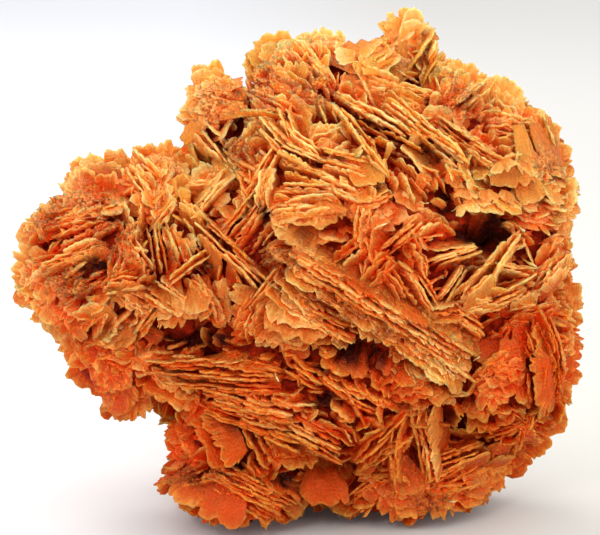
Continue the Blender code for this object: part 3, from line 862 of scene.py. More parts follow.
def add_page(growth, along, side, place, out, sink):
    """One blade of a sheaf, laid in pieces along its free edge."""
    length = (growth.end - growth.start).length
    tint = chance.normal() * BLADE_TINT
    slide = along * chance.normal() * min(length * BLADE_SLIDE, MOST_SLIDE)
    slide = slide + growth.out * (chance.uniform(*BLADE_RISE) - sink)
    slide += growth.lift
    first = chance.uniform(-LONGER_OR_SHORTER, LONGER_OR_SHORTER)
    last = 1 + chance.uniform(-LONGER_OR_SHORTER, LONGER_OR_SHORTER)
    parts = max(1, round(length / growth.piece + chance.uniform(-PIECES_VARY, PIECES_VARY)))
    parts = max(parts, round(growth.bulge))
    for part in range(parts):
        ends = []
        for share in ((part - PIECE_OVERLAP) / parts, (part + 1 + PIECE_OVERLAP) / parts):
            share = first + (last - first) * share
            width = growth.wide[0] + (growth.wide[1] - growth.wide[0]) * share
            bow = growth.bend * (1 - (2 * share - 1) ** 2)
            across = bow - width * place + chance.normal() * PIECE_WANDER
            ends.append(growth.edge_at(share) + slide + side * across)
        shift = growth.out * chance.normal() * PIECE_RISE
        turned = (out + side * chance.normal() * PIECE_TURN).normalized()
        thick = chance.uniform(*SHEAF_THICK)
        piece_tint = tint + chance.normal() * PIECE_TINT
        deep = max(growth.deep - sink, SHALLOWEST)
        if in_hollow((ends[0] + ends[1]) / 2, growth.normal, MOUTH_SHARE):
            continue
        ends = [end + shift for end in ends]
        add_blade(blades[growth.region], *ends, turned, deep, thick, piece_tint, growth.count > 0)


print("regions of blades:", len(blades))

# %% [markdown]
# The whole sheaf follows from its width: as many blades as fit at the usual distance, each turned a
# little further than the last, like the pages of an open book. A sheaf that leans shows more of its side,
# and gets up to two blades more.

# %% Grow the sheaves
PITCH = 0.78
TERRACE = 1.6
FEWEST_BLADES = 2
MORE_WHEN_TURNED = 2
FAN_JITTER = 4.0


def add_sheaf(growth):
    """The blades of one sheaf, spread over its width and fanned about its free edge."""
    along = (growth.end - growth.start).normalized()
    side = along.cross(growth.out).normalized()
    seen_from = growth.normal if growth.region.startswith("back") else TO_EYE
    turned = side.dot(seen_from)
    count = growth.count
    if not count:
        count = max(FEWEST_BLADES, round(sum(growth.wide) / 2 / PITCH))
        count += round(MORE_WHEN_TURNED * abs(turned))
    for index in range(count):
        place = (index + 0.5) / count - 0.5
        nearness = 0.5 - math.copysign(place, place * turned)
        fanned = growth.fan * place + chance.normal() * FAN_JITTER
        out = Matrix.Rotation(math.radians(fanned), 3, along) @ growth.out
        add_page(growth, along, side, place, out, TERRACE * abs(turned) * (count - 1) * nearness)


for growth in growths:
    add_sheaf(growth)
print("blades in sheaves:", sum(len(sheets.points) for sheets in blades.values()))

# %% [markdown]
# Between the sheaves lies ground that smaller blades fill. Each will take its direction from the nearest
# sheaf, so the nearest one has to be found quickly for thousands of places. A tree of the sheaves'
# middles gives a few that may be nearest, and among those the distance to the real edge decides.

# %% Find the nearest sheaf
CANDIDATES = 8
tree = KDTree(len(growths))
for index, growth in enumerate(growths):
    tree.insert((growth.start + growth.end) / 2, index)
tree.balance()


def nearest_growth(point):
    """The nearest sheaf, and how far off its outermost blade is. Inside the sheaf that is below 0."""
    best = None
    for _, index, _ in tree.find_n(point, CANDIDATES):
        growth = growths[index]
        edge = growth.end - growth.start
        share = min(max((point - growth.start).dot(edge) / edge.length_squared, 0), 1)
        distance = (growth.edge_at(share) - point).length
        distance -= (growth.wide[0] + (growth.wide[1] - growth.wide[0]) * share) / 2
        if best is None or distance < best[0]:
            best = (distance, growth)
    return best


print("distance from the front's middle to a sheaf, mm:", round(nearest_growth(surface_at(8, 50)[0])[0], 1))

# %% [markdown]
# The broad leaves are bare on the real cluster too: their faces show, with nothing grown on them. So no
# small blade may stand where it would cover such a face.

# %% Keep the leaves bare
BARE_DEPTH = 0.85
BEYOND_EDGE = 0.5
LEAF_CLEARANCE = 4.5
leaves = [growth for growth in growths if growth.count]


def on_a_leaf(point):
    """Whether a point lies over the face of one of the leaves."""
    for leaf in leaves:
        edge = leaf.end - leaf.start
        off = point - leaf.start - leaf.lift
        above = off.dot(edge.normalized().cross(leaf.out))
        below_edge = -off.dot(leaf.out)
        if not 0 < off.dot(edge) < edge.length_squared:
            continue
        if -BEYOND_EDGE < below_edge < leaf.deep * BARE_DEPTH and abs(above) < LEAF_CLEARANCE:
            return True
    return False


print("leaves:", len(leaves))

# %% [markdown]
# Two kinds of small blade cover the ground. Fillers stand in patches of parallel blades that meet at an
# angle, as real sheaves do. Chips are broken bits, stuck in every way, and they come last. Chips that
# turn their face to the viewer look like loose discs, so those are left out.

# %% Shape the ground
class Ground(NamedTuple):
    """A kind of small blade: its spacings, its chances, its sizes in mm, and how far it shuns hollows."""
    front_spacing: float
    back_spacing: float
    turn: float
    scatter: float
    lift: tuple
    half: tuple
    thick: tuple
    deep: float
    shun: float


FILLER = Ground(3.0, 3.8, 0.28, 0.16, (-2.6, -0.4), (1.4, 3.8), (0.4, 1.0), 10.0, 1.0)
CHIP = Ground(4.0, 7.0, 0.9, 0.45, (-2.0, 0.0), (0.6, 1.7), (0.3, 0.6), 4.5, 1.25)
FAN_PER_MM = 0.045
INSIDE_SHEAF = -0.5
PATCH_SIZE = 9.0
PATCH_APART = 40.0
PATCH_RELIEF = 2.4
PATCH_TURN = 0.9
PATCH_LEAN = 1.5
FOLLOW_GROUND = 0.8
BESIDE_SHEAF = 1.2
FACING_CHIP = 0.65
GROUND_TINT = 0.6


def patch_noise(point, number):
    """A slow random value at a point. Another number gives another field."""
    return noise.noise(point / PATCH_SIZE + Vector((0, 0, PATCH_APART * number)))


def add_small_blade(kind, point, normal):
    """A filler or a chip. It leans away from its sheaf the further it stands from it, which makes a fan."""
    distance, growth = nearest_growth(point)
    if distance < INSIDE_SHEAF or on_a_leaf(point):
        return
    along = (growth.end - growth.start).normalized()
    side = along.cross(growth.out).normalized()
    offset = (point - (growth.start + growth.end) / 2).dot(side)
    along = (along - normal * along.dot(normal)).normalized()
    turn = patch_noise(point, 1) * PATCH_TURN + chance.normal() * kind.turn
    along = Matrix.Rotation(turn, 3, normal) @ along
    out = growth.out + (normal - growth.normal) * FOLLOW_GROUND
    out = out + side * (offset * FAN_PER_MM + patch_noise(point, 3) * PATCH_LEAN)
    out = (out + Vector(chance.normal(size=3)) * kind.scatter).normalized()
    if kind is CHIP and abs(along.cross(out).normalized().dot(normal)) > FACING_CHIP:
        return
    half = chance.uniform(*kind.half)
    lift = patch_noise(point, 2) * PATCH_RELIEF
    if kind is FILLER:
        lift -= max(0, BESIDE_SHEAF - distance)
    lift += chance.uniform(*kind.lift)
    foot = point + normal * lift
    tint = chance.normal() * GROUND_TINT
    thick = chance.uniform(*kind.thick)
    add_blade(blades[growth.region], foot - along * half, foot + along * half, out, kind.deep, thick, tint)


print("spacing of the fillers, mm:", FILLER.front_spacing, "and of the chips:", CHIP.front_spacing)

# %% [markdown]
# The small blades are spread by the same spiral that placed the sheaves of the back. Each lump gets its
# own spiral, and whatever falls inside another lump, in a hollow or under the floor is left out.

# %% Cover the ground
HIDDEN_BELOW = 0.7
GROUND_LOWEST = 1.5


def cover_ground(kind):
    """Spreads small blades over every lump where it shows."""
    for lump in LUMPS:
        for spacing, is_front in ((kind.front_spacing, True), (kind.back_spacing, False)):
            for point, normal in spread_points(lump, spacing):
                facing = normal.dot(TO_EYE) > FRONT_FACING
                hidden = any(is_inside(point, other, HIDDEN_BELOW) for other in LUMPS if other is not lump)
                is_open = in_hollow(point, normal, kind.shun)
                if facing == is_front and not hidden and point.z > GROUND_LOWEST and not is_open:
                    add_small_blade(kind, point, normal)


cover_ground(FILLER)
print("with the fillers:", sum(len(sheets.points) for sheets in blades.values()))
cover_ground(CHIP)
print("with the chips:", sum(len(sheets.points) for sheets in blades.values()))

# %% [markdown]
# The hollows aren't bare inside either. On the real cluster they are lined with small blades, which look
# darker and redder than those outside because they lie in shade. Here the linings get a redder tint, which
# is painted shade. They could be grown like the rest, but the ground leaves the hollows out. So each hollow
# gets its own: a grid over its mouth, shifted by chance and set back onto its wall.

# %% Line the hollows
LINING_PITCH = 2.0
# The linings' tint makes them redder and darker: painted shade of the hollows.
LINING_SHADE_TINT = -1.0
LINING_JITTER = 0.6
LINING_SET_BACK = 0.65
LINING_TO_EYE = 3.0
LINING_INWARD = 0.4
LINING_SCATTER = 1.2
LINING_HALF = (1.2, 2.8)
LINING_DEEP = 8.0
LINING_THICK = 0.8


def line_hollow(hollow):
    """Blades on the inside of one hollow."""
    steps_across = round(hollow.half_width / LINING_PITCH)
    steps_up = round(hollow.half_height / LINING_PITCH)
    for i in range(-steps_across, steps_across + 1):
        for j in range(-steps_up, steps_up + 1):
            across = i * LINING_PITCH + chance.normal() * LINING_JITTER
            rise = j * LINING_PITCH + chance.normal() * LINING_JITTER
            off = (across / hollow.half_width) ** 2 + (rise / hollow.half_height) ** 2
            if off > 1:
                continue
            mouth, _ = surface_at(hollow.across + across, hollow.rise + rise)
            place = mouth - TO_EYE * (hollow.deep * math.sqrt(1 - off) * LINING_SET_BACK)
            _, growth = nearest_growth(mouth)
            inward = Vector((-across, 0, 0)) - PLANE_UP * rise
            scatter = Vector(chance.normal(size=3)) * LINING_SCATTER
            out = (TO_EYE * LINING_TO_EYE + inward * LINING_INWARD + scatter).normalized()
            along = Vector(chance.normal(size=3)).cross(out).normalized()
            half = chance.uniform(*LINING_HALF)
            ends = (place - along * half, place + along * half)
            add_blade(blades[growth.region], *ends, out, LINING_DEEP, LINING_THICK, LINING_SHADE_TINT)


for hollow in HOLLOWS:
    line_hollow(hollow)
print("with the hollows' linings:", sum(len(sheets.points) for sheets in blades.values()))

# %% [markdown]
# Under the blades lies the mass that they grew out of. It shows only in the gaps, rough, and painted dark as
# shade of the gaps. It is made of balls a few millimetres smaller than the lumps, with a ball taken out for
# each hollow.

# %% Balls for the mass
CORE_INSET = 5.0
BALL_DETAIL = 4
HOLLOW_DETAIL = 3


def add_object(name, mesh):
    """A new object in the scene."""
    thing = bpy.data.objects.new(name, mesh)
    bpy.context.scene.collection.objects.link(thing)
    return thing


def triangles(thing):
    """How many triangles an object's mesh has."""
    return sum(len(face.vertices) - 2 for face in thing.data.polygons)


def ball_matrix(centre, turn, radii):
    """Takes a unit ball to an ellipsoid, in metres."""
    place = Matrix.Translation(Vector(centre) + SHIFT)
    return Matrix.Scale(MM, 4) @ place @ turn @ Matrix.Diagonal((*radii, 1))


def ball_mesh(name, matrices, detail):
    """One mesh of balls, each placed and stretched by a matrix."""
    shape = bmesh.new()
    for matrix in matrices:
        bmesh.ops.create_icosphere(shape, subdivisions=detail, radius=1, matrix=matrix)
    mesh = bpy.data.meshes.new(name)
    shape.to_mesh(mesh)
    shape.free()
    return mesh


def lump_balls():
    """The mesh of all lumps, each a little smaller."""
    matrices = []
    for lump in LUMPS:
        radii = [radius - CORE_INSET for radius in lump.radii]
        matrices.append(ball_matrix(lump.centre, Matrix(), radii))
    return ball_mesh("core", matrices, BALL_DETAIL)


def hollow_balls():
    """A collection with one ball for each hollow."""
    balls = bpy.data.collections.new("hollows")
    bpy.context.scene.collection.children.link(balls)
    turn = Matrix((Vector((1, 0, 0)), PLANE_UP, TO_EYE)).transposed().to_4x4()
    for index, hollow in enumerate(HOLLOWS):
        mouth, _ = surface_at(hollow.across, hollow.rise)
        matrix = ball_matrix(mouth, turn, (hollow.half_width, hollow.half_height, hollow.deep))
        mesh = ball_mesh(f"hollow_{index}", [matrix], HOLLOW_DETAIL)
        balls.objects.link(bpy.data.objects.new(mesh.name, mesh))
    return balls


print("balls in the mass:", len(LUMPS), "and taken out of it:", len(HOLLOWS))

# %% [markdown]
# Overlapping balls are still separate skins. A voxel remesh welds them into one, and a Boolean then takes
# out the hollows. Its points are moved by noise of two sizes, and its underside stays a little off the
# floor, where the blades hide it.

# %% Make the mass under the blades
CORE_VOXEL = 1.6
CORE_ROUGHNESS = 1.6
CORE_LOWEST = 3.0
COARSE_NOISE = 0.35
FINE_NOISE = 0.8
FINE_SHARE = 0.8


def roughen(mesh):
    """Moves a mesh's points in and out by noise, and none below the lowest place."""
    for vert in mesh.vertices:
        place = vert.co / MM
        rough = noise.noise(place * COARSE_NOISE) + FINE_SHARE * noise.noise(place * FINE_NOISE)
        vert.co += vert.normal * rough * CORE_ROUGHNESS * MM
        vert.co.z = max(vert.co.z, CORE_LOWEST * MM)


def make_core():
    """The joined lumps, hollowed and roughened."""
    core = add_object("core", lump_balls())
    remesh = core.modifiers.new("join", "REMESH")
    remesh.mode = "VOXEL"
    remesh.voxel_size = CORE_VOXEL * MM
    cutters = hollow_balls()
    cut = core.modifiers.new("hollows", "BOOLEAN")
    cut.operation = "DIFFERENCE"
    cut.operand_type = "COLLECTION"
    cut.collection = cutters
    bpy.context.view_layer.update()
    seen = core.evaluated_get(bpy.context.evaluated_depsgraph_get())
    finished = bpy.data.meshes.new_from_object(seen)
    for thing in [core] + list(cutters.objects):
        bpy.data.objects.remove(thing)
    bpy.data.collections.remove(cutters)
    roughen(finished)
    finished.name = "core_mass"
    return add_object("core_mass", finished)


core = make_core()
print("triangles of the mass:", triangles(core))

# %% [markdown]
# The finish has to know where a point of a blade lies: in a crust, in a hollow, in a red or a creamy
# patch. It could be painted by hand on an image, but nothing here uses images. Instead each patch is a
# soft ellipsoid of space round a place of the front, and this function says how far off it each point is.

# %% How far off a patch
UNEVEN = 0.2
UNEVEN_LENGTH = 4.0


def off_place(points, place, radii, before):
    """How far each point is off a place of the front, in radii. before is the radius towards the eye."""
    away = points - np.array(surface_at(*place)[0])
    nearer = away @ np.array(TO_EYE)
    depth = nearer / np.where(nearer > 0, before, radii[2])
    away = np.stack([away[:, 0], away @ np.array(PLANE_UP), depth], 1)
    return np.linalg.norm(away / np.array([radii[0], radii[1], 1]), axis=1)


test_point = np.array([surface_at(0, 50)[0]])
print("a point on its own place is off it by:", round(off_place(test_point, (0, 50), (5, 5, 5), 5)[0], 3))

# %% [markdown]
# Some faces carry a brown crust of tiny crystals. Whatever blade lies in such a patch is painted brown,
# and most of the grains land there.

# %% The crusts
class Crust(NamedTuple):
    """A patch of brown crust: its across and rise in the picture, its half width and its half height."""
    across: float
    rise: float
    half_width: float
    half_height: float


CRUST_DEEP = 7.0
CRUST_REACH = 1.6
CRUSTS = (
    Crust(-5, 52.8, 4, 3),
    Crust(-49, 46.8, 7.5, 3),
    Crust(-38.5, 57, 3.5, 5),
    Crust(-53, 62, 3, 5),
    Crust(-44, 65, 5.5, 2),
    Crust(-16.5, 86, 5, 5),
    Crust(-12, 76, 3, 3),
    Crust(-7, 91, 2.5, 6),
    Crust(4.5, 88, 4, 3.5),
    Crust(33.5, 87, 3.5, 4.5),
    Crust(52.3, 73.5, 3, 4.5),
    Crust(-24, 7, 7, 2.5),
    Crust(27.5, 1, 3.5, 2),
    Crust(5, 43.5, 2.5, 1.2),
    Crust(11, 40.5, 2.5, 1.2),
    Crust(18, 37, 2, 1.2),
)


def crust_at(points):
    """How much crust covers each point, from 0 to 1, for an array of points in millimetres."""
    cover = np.zeros(len(points))
    for crust in CRUSTS:
        radii = (crust.half_width, crust.half_height, CRUST_DEEP)
        off = off_place(points, (crust.across, crust.rise), radii, CRUST_DEEP)
        off = off + UNEVEN * waves(points, UNEVEN_LENGTH)
        cover = np.maximum(cover, np.clip(CRUST_REACH - off, 0, 1))
    return cover


print("patches of crust:", len(CRUSTS))

# %% [markdown]
# The hollows are dark, because hardly any light gets in. The render's soft light comes from all sides and
# would show them too bright, so their insides are painted darker as well. The gloom begins a few
# millimetres before each mouth and has a steep edge, so that the blades round it stay clear.

# %% The gloom in the hollows
GLOOM_BEFORE = 3.0
GLOOM_REACH = 1.15
GLOOM_STEEP = 3.5
GLOOM_UNEVEN_LENGTH = 5.0


def gloom_at(points):
    """How far inside a hollow each point lies, from 0 to 1."""
    gloom = np.zeros(len(points))
    for hollow in HOLLOWS:
        radii = (hollow.half_width, hollow.half_height, hollow.deep)
        off = off_place(points, (hollow.across, hollow.rise), radii, GLOOM_BEFORE)
        off = off + UNEVEN * waves(points, GLOOM_UNEVEN_LENGTH)
        gloom = np.maximum(gloom, np.clip((GLOOM_REACH - off) * GLOOM_STEEP, 0, 1))
    return gloom


print("the gloom begins this far before a hollow, mm:", GLOOM_BEFORE)

# %% [markdown]
# The orange isn't even: some places are clearly redder, others creamier. Each such patch shifts the
# colour by a number, and where patches overlap the numbers add up.

# %% The red and the creamy patches
class Tone(NamedTuple):
    """A patch of colour: its place and half sizes, and how much creamier it is, or redder below 0."""
    across: float
    rise: float
    half_width: float
    half_height: float
    shift: float


TONE_DEEP = 9.0
TONE_REACH = 1.5
TONES = (
    Tone(-42, 69, 5, 2.5, -1.2),
    Tone(51.5, 28, 2.5, 6, -0.8),
    Tone(-17, 0.5, 6, 3.5, 0.3),
    Tone(-24, 6, 5, 4, -0.8),
    Tone(10, 60, 4, 2.5, -0.6),
    Tone(30.5, 67, 4, 6, -0.8),
    Tone(-11.5, 72, 2.5, 4, -0.7),
    Tone(28, 87, 1.2, 1.5, -1.2),
    Tone(14, 88, 1.4, 1.4, -1.2),
    Tone(13, 70.5, 1.5, 1.5, -0.8),
    Tone(39, 85.5, 2.2, 2, -1.2),
    Tone(-20, 35.5, 11, 3, -0.6),
    Tone(0, 30, 8, 4, -0.5),
    Tone(47, 13, 8, 6, -0.4),
    Tone(7, 5, 6, 4, 0.1),
    Tone(-20, 15, 4, 6, -0.7),
    Tone(20, 3, 12, 4, -0.4),
    Tone(30.5, 28.5, 5.5, 3.5, 0.9),
    Tone(-1, 43, 5, 6, 0.5),
    Tone(25, 88.5, 6, 4, 1.2),
    Tone(32, 100, 5, 3, 0.8),
    Tone(-15, 91, 4, 4, 0.5),
    Tone(-2, 97.5, 9, 3, 0.9),
    Tone(53, 69.5, 5, 2.5, 0.8),
    Tone(41, 51, 6, 5, 0.4),
    Tone(-57, 47, 3, 4, 0.7),
    Tone(-42, 43, 6, 3, 0.4),
    Tone(-30, 70, 5, 6, 0.4),
    Tone(42, 76, 12, 8, -0.35),
    Tone(8, 51, 24, 10, -0.35),
)


def tone_at(points):
    """How much creamier each point is, or redder."""
    tones = np.zeros(len(points))
    for tone in TONES:
        radii = (tone.half_width, tone.half_height, TONE_DEEP)
        off = off_place(points, (tone.across, tone.rise), radii, TONE_DEEP)
        tones += tone.shift * np.clip(TONE_REACH - off - UNEVEN * waves(points, UNEVEN_LENGTH), 0, 1)
    return tones


print("patches of colour:", len(TONES))

# %% [markdown]
# Deep in a gap only red light is left, because it has passed through so much orange stone. So the finish
# has to know how deep each point lies. For an ellipsoid a short formula gives that, measured towards its
# middle.

# %% How deep a point lies
def sunk_at(points):
    """How deep each point lies under the lumps' surface, in millimetres."""
    sunk = np.full(len(points), -np.inf)
    for lump in LUMPS:
        away = points - np.array(lump.centre)
        share = np.linalg.norm(away / np.array(lump.radii), axis=1)
        sunk = np.maximum(sunk, np.linalg.norm(away, axis=1) * (1 / share - 1))
    return sunk


print("the test point lies this deep, mm:", abs(sunk_at(test_point)[0].round(3)))

# %% [markdown]
# A few thin blades happen to stand so that they catch the light, and they look white. Gloss alone would
# show that from one side only. Each is a real blade here, edge on to the eye and lifted out of the rest,
# with a paleness that the finish turns into a creamy white.

# %% Blades that catch the light
GLINT_PALE = 1.6
GLINT_LIFT = 2.0
GLINT_THICK = 0.24
GLINTS = (
    ((-23.5, 56), (-22, 52.5)),
    ((-5, 29), (-4, 27)),
    ((16.5, 59), (19, 60)),
    ((37, 31.4), (38.3, 32.3)),
    ((26.8, 64), (27.8, 64.2)),
    ((47, 58.9), (47.8, 58.2)),
    ((46.5, 54.5), (47.4, 55)),
    ((49.4, 51.2), (50.2, 50.6)),
    ((53.5, 68.7), (54.1, 68.9)),
    ((34, 72.9), (34.9, 72.5)),
    ((31, 84.2), (31.4, 83.2)),
    ((32.5, 1.8), (33.6, 1.8)),
    ((-59, 48), (-58.3, 46)),
)


def add_glint(start, end):
    """A small blade, edge on, between two places of the picture."""
    lift = TO_EYE * GLINT_LIFT
    sheets = blades["rosette"]
    ends = (surface_at(*start)[0] + lift, surface_at(*end)[0] + lift)
    add_blade(sheets, *ends, TO_EYE, SHALLOWEST, GLINT_THICK)
    sheets.paint[-1][:, 0] *= GLINT_PALE


for ends in GLINTS:
    add_glint(*ends)
print("blades that catch the light:", len(GLINTS))

# %% [markdown]
# A sugary skin of grains sits on the blades' edges. Each grain is a small eight-sided crystal. Thousands
# of them would take long one by one, so arrays make them all at once.

# %% Scatter the grains
GRAINS = 9000
GRAIN_SIZE = (0.12, 0.36)
GRAIN_PALE = 0.9
GRAIN_TINT = 0.8
BARE_SHARE = 0.015
EDGE_PALENESS = 0.5
# Corners 0 and 1 lie on one axis of a grain, 2 and 3 on the next, and 4 and 5 on the last. Half of the faces
# look inward, which hardly shows on grains so small.
OCTAHEDRON = [
    (a, b, c) if a == 1 else (a, c, b)
    for a in (0, 1) for b in (2, 3) for c in (4, 5)
]


def add_grains(sheets, points):
    """Eight-sided crystals on some of these points, thickest where there is crust."""
    weight = BARE_SHARE + crust_at(points)
    chosen = points[chance.choice(len(points), GRAINS, replace=False, p=weight / weight.sum())]
    axes = chance.normal(size=(GRAINS, 3, 3))
    axes /= np.linalg.norm(axes, axis=2)[:, :, None]
    axes[np.linalg.det(axes) < 0, 2] *= -1
    axes *= chance.uniform(*GRAIN_SIZE, (GRAINS, 3, 1))
    corners = np.stack([axes[:, 0], -axes[:, 0], axes[:, 1], -axes[:, 1], axes[:, 2], -axes[:, 2]], 1)
    corners = (corners + chosen[:, None]).reshape(-1, 3)
    tint = np.repeat(chance.normal(size=GRAINS) * GRAIN_TINT, 6)
    faces = (np.array(OCTAHEDRON) + 6 * np.arange(GRAINS)[:, None, None]).reshape(-1, 3).tolist()
    sheets.add(corners, faces, np.column_stack([np.full(len(tint), GRAIN_PALE), tint, corners]))


edge_points = []
for sheets in blades.values():
    paleness = np.concatenate(sheets.paint)[:, 0]
    edge_points.append(np.concatenate(sheets.points)[paleness > EDGE_PALENESS])
grains = Sheets(0)
add_grains(grains, np.concatenate(edge_points))
print("grains:", GRAINS)

# %% [markdown]
# Each region's blades now become one mesh. Numbers go with every point, for the finish to read: how pale
# it is, its blade's tint, its crust, gloom, tone and depth, and its place on its own blade. Edges sharper
# than an angle stay sharp, so that the crumbs keep their facets while the leaves wave softly.

# %% Turn the gathered blades into pieces
SHARP_ANGLE = 32


def make_piece(name, sheets):
    """One mesh of all the blades of a region."""
    points = np.concatenate(sheets.points)
    paint = np.concatenate(sheets.paint)
    layers = {
        "pale": paint[:, 0],
        "tint": paint[:, 1],
        "crust": crust_at(points),
        "gloom": gloom_at(points),
        "sunk": sunk_at(points),
        "tone": tone_at(points),
    }
    points = (points + np.array(SHIFT)) * MM
    points[:, 2] = np.maximum(points[:, 2], 0.0)
    mesh = bpy.data.meshes.new(name)
    mesh.from_pydata(points.tolist(), [], sheets.faces)
    for layer, values in layers.items():
        attribute = mesh.attributes.new(layer, "FLOAT", "POINT")
        attribute.data.foreach_set("value", values.astype(np.float32))
    attribute = mesh.attributes.new("own_place", "FLOAT_VECTOR", "POINT")
    attribute.data.foreach_set("vector", paint[:, 2:5].astype(np.float32).ravel())
    mesh.shade_smooth()
    mesh.set_sharp_from_angle(angle=math.radians(SHARP_ANGLE))
    return add_object(name, mesh)


pieces = [make_piece(f"blades_{name}", sheets) for name, sheets in blades.items()]
pieces.append(make_piece("grains", grains))
for piece in pieces:
    print(piece.name, "triangles:", triangles(piece))
print("triangles in all:", sum(triangles(piece) for piece in pieces + [core]))

# %% [markdown]
# Shader maths reads best as plain expressions. A small class wraps a node's socket, and each sum on it
# adds a Math node. Colours go through a Mix node instead, because a Math node would turn them grey.

# %% A socket that does sums
class Value:
    """Wraps a shader socket, so that sums on it add Math nodes."""

    def __init__(self, tree, socket):
        self.tree = tree
        self.socket = socket

    def node(self, kind, inputs=(), output=0, **settings):
        """Adds a node: its settings first, then its inputs, by number or name, as values or sockets."""
        node = self.tree.nodes.new(kind)
        for name, value in settings.items():
            setattr(node, name, value)
        for name, value in dict(inputs).items():
            if isinstance(value, Value):
                self.tree.links.new(value.socket, node.inputs[name])
            else:
                node.inputs[name].default_value = value
        return Value(self.tree, node.outputs[output])

    def math(self, operation, *values, clamp=False):
        """One Math node."""
        return self.node("ShaderNodeMath", enumerate(values), operation=operation, use_clamp=clamp)

    def __add__(self, other):
        return self.math("ADD", self, other)

    __radd__ = __add__

    def __sub__(self, other):
        return self.math("SUBTRACT", self, other)

    def __rsub__(self, other):
        return self.math("SUBTRACT", other, self)

    def __mul__(self, other):
        return self.math("MULTIPLY", self, other)

    __rmul__ = __mul__

    def clamped(self):
        """The value, kept between 0 and 1."""
        return self.math("ADD", self, 0.0, clamp=True)

    def mix(self, first, second):
        """first where this value is 0, second where it is 1. Both are colours."""
        inputs = {0: self, 6: first, 7: second}
        return self.node("ShaderNodeMix", inputs, output=2, data_type="RGBA")


print("sums that add a node:", "+ - *")

# %% [markdown]
# Every material starts the same way, and takes the same few things: an object's own coordinates, a number
# that the mesh holds, and links into its shader.

# %% Start a material
OBJECT_COORDINATES = 3
NOISE_MEAN = 0.5


def new_material(name):
    """A material, its Principled shader, and a wrapped socket to start expressions from."""
    material = bpy.data.materials.new(name)
    material.use_nodes = True
    tree = material.node_tree
    return material, tree.nodes["Principled BSDF"], Value(tree, None)


def object_place(start):
    """Where a point is on the object, in metres."""
    return start.node("ShaderNodeTexCoord", output=OBJECT_COORDINATES)


def painted(start, layer):
    """The number that the mesh holds at a point under this name."""
    return start.node("ShaderNodeAttribute", output=2, attribute_name=layer)


def plug(value, surface, name):
    """Links a value to one of the shader's inputs."""
    value.tree.links.new(value.socket, surface.inputs[name])


print("attributes on a mesh:", len(pieces[0].data.attributes))

# %% [markdown]
# Each blade has marks of its own: streaks down its face, thin layers along its edge, and grain. Noise in
# space would run through neighbouring blades as if they were carved from one block. So the streaks and
# the layers use the place on the blade, which came with its paint, stretched one way or the other.

# %% The marks on barite
FACE_SCALE = 1.1
STREAKED = (1.0, 0.28, 1.0)
STREAK_DETAIL = 2.0
LAYERED = (0.25, 2.4, 1.0)
LAYER_DETAIL = 1.0
GRAIN_SCALE = 1500.0
GRAIN_DETAIL = 1.5
PATCH_MARKS = 1.3
LAYER_MARKS = 0.5
GRAIN_MARKS = 0.4


def face_noise(start, stretch, detail):
    """Noise on a blade's own face, stretched along it or down it."""
    own = start.node("ShaderNodeAttribute", output=1, attribute_name="own_place")
    place = start.node("ShaderNodeVectorMath", {0: own, 1: stretch}, operation="MULTIPLY")
    return start.node("ShaderNodeTexNoise", {"Vector": place, "Scale": FACE_SCALE, "Detail": detail})


def barite_marks(start):
    """The patches, the layers, the grain and their sum, which lies around 0."""
    patch = face_noise(start, STREAKED, STREAK_DETAIL)
    layers = face_noise(start, LAYERED, LAYER_DETAIL)
    inputs = {"Vector": object_place(start), "Scale": GRAIN_SCALE, "Detail": GRAIN_DETAIL}
    grain = start.node("ShaderNodeTexNoise", inputs)
    marks = (patch - NOISE_MEAN) * PATCH_MARKS + (layers - NOISE_MEAN) * LAYER_MARKS
    marks = marks + (grain - NOISE_MEAN) * GRAIN_MARKS
    return patch, layers, grain, marks


print("a layer on a blade is about this thick, mm:", round(1 / FACE_SCALE / LAYERED[1], 2))

# %% [markdown]
# One number, the warmth, picks each place's colours from red to creamy. It rises with height, wanders
# with a slow noise, differs from blade to blade and follows the patches of colour. A colour ramp could
# hold such a range too, but pairs of colours can be mixed by the same number again and again, for the
# edge, the face and the depth of a blade.

# %% How warm a place is
CLUSTER_HEIGHT = 0.105
CLOUD_SCALE = 60.0
CLOUD_DETAIL = 3.0
BY_HEIGHT = 1.75
BY_CLOUD = 1.6
BY_TINT = 0.25
BY_MARKS = 0.4
BY_TONE = 0.6
LEAST_WARM = 1.23


def barite_warmth(start, marks):
    """How creamy a place is, from 0, which is red, to 1."""
    place = object_place(start)
    height = start.node("ShaderNodeSeparateXYZ", {0: place}, output=2) * (1 / CLUSTER_HEIGHT)
    inputs = {"Vector": place, "Scale": CLOUD_SCALE, "Detail": CLOUD_DETAIL}
    cloud = start.node("ShaderNodeTexNoise", inputs)
    warm = height * BY_HEIGHT + cloud * BY_CLOUD + painted(start, "tint") * BY_TINT + marks * BY_MARKS
    return (warm + painted(start, "tone") * BY_TONE - LEAST_WARM).clamped()


print("size of a cloud of colour, mm:", round(1 / CLOUD_SCALE / MM, 1))

# %% [markdown]
# A blade is palest at its free edge, where light passes through it, orange on its face and deep red where it
# sinks into the mass. The pale edge is painted light and the deep red is painted shade. Each of the three is
# a pair of colours, for the reddest and the creamiest place. The paleness from the paint goes through them
# in two steps, from deep to face and from face to edge.

# %% The colours of a blade
# EDGE is painted light at the thin free edge, and DEEP is painted shade where the blade sinks in.
DEEP = ((0.48, 0.028, 0.0012, 1), (0.56, 0.11, 0.007, 1))
FACE = ((0.43, 0.062, 0.004, 1), (0.60, 0.28, 0.042, 1))
EDGE = ((0.56, 0.21, 0.03, 1), (0.70, 0.54, 0.20, 1))
FACE_MARKS = 0.6
EDGE_MARKS = 0.9


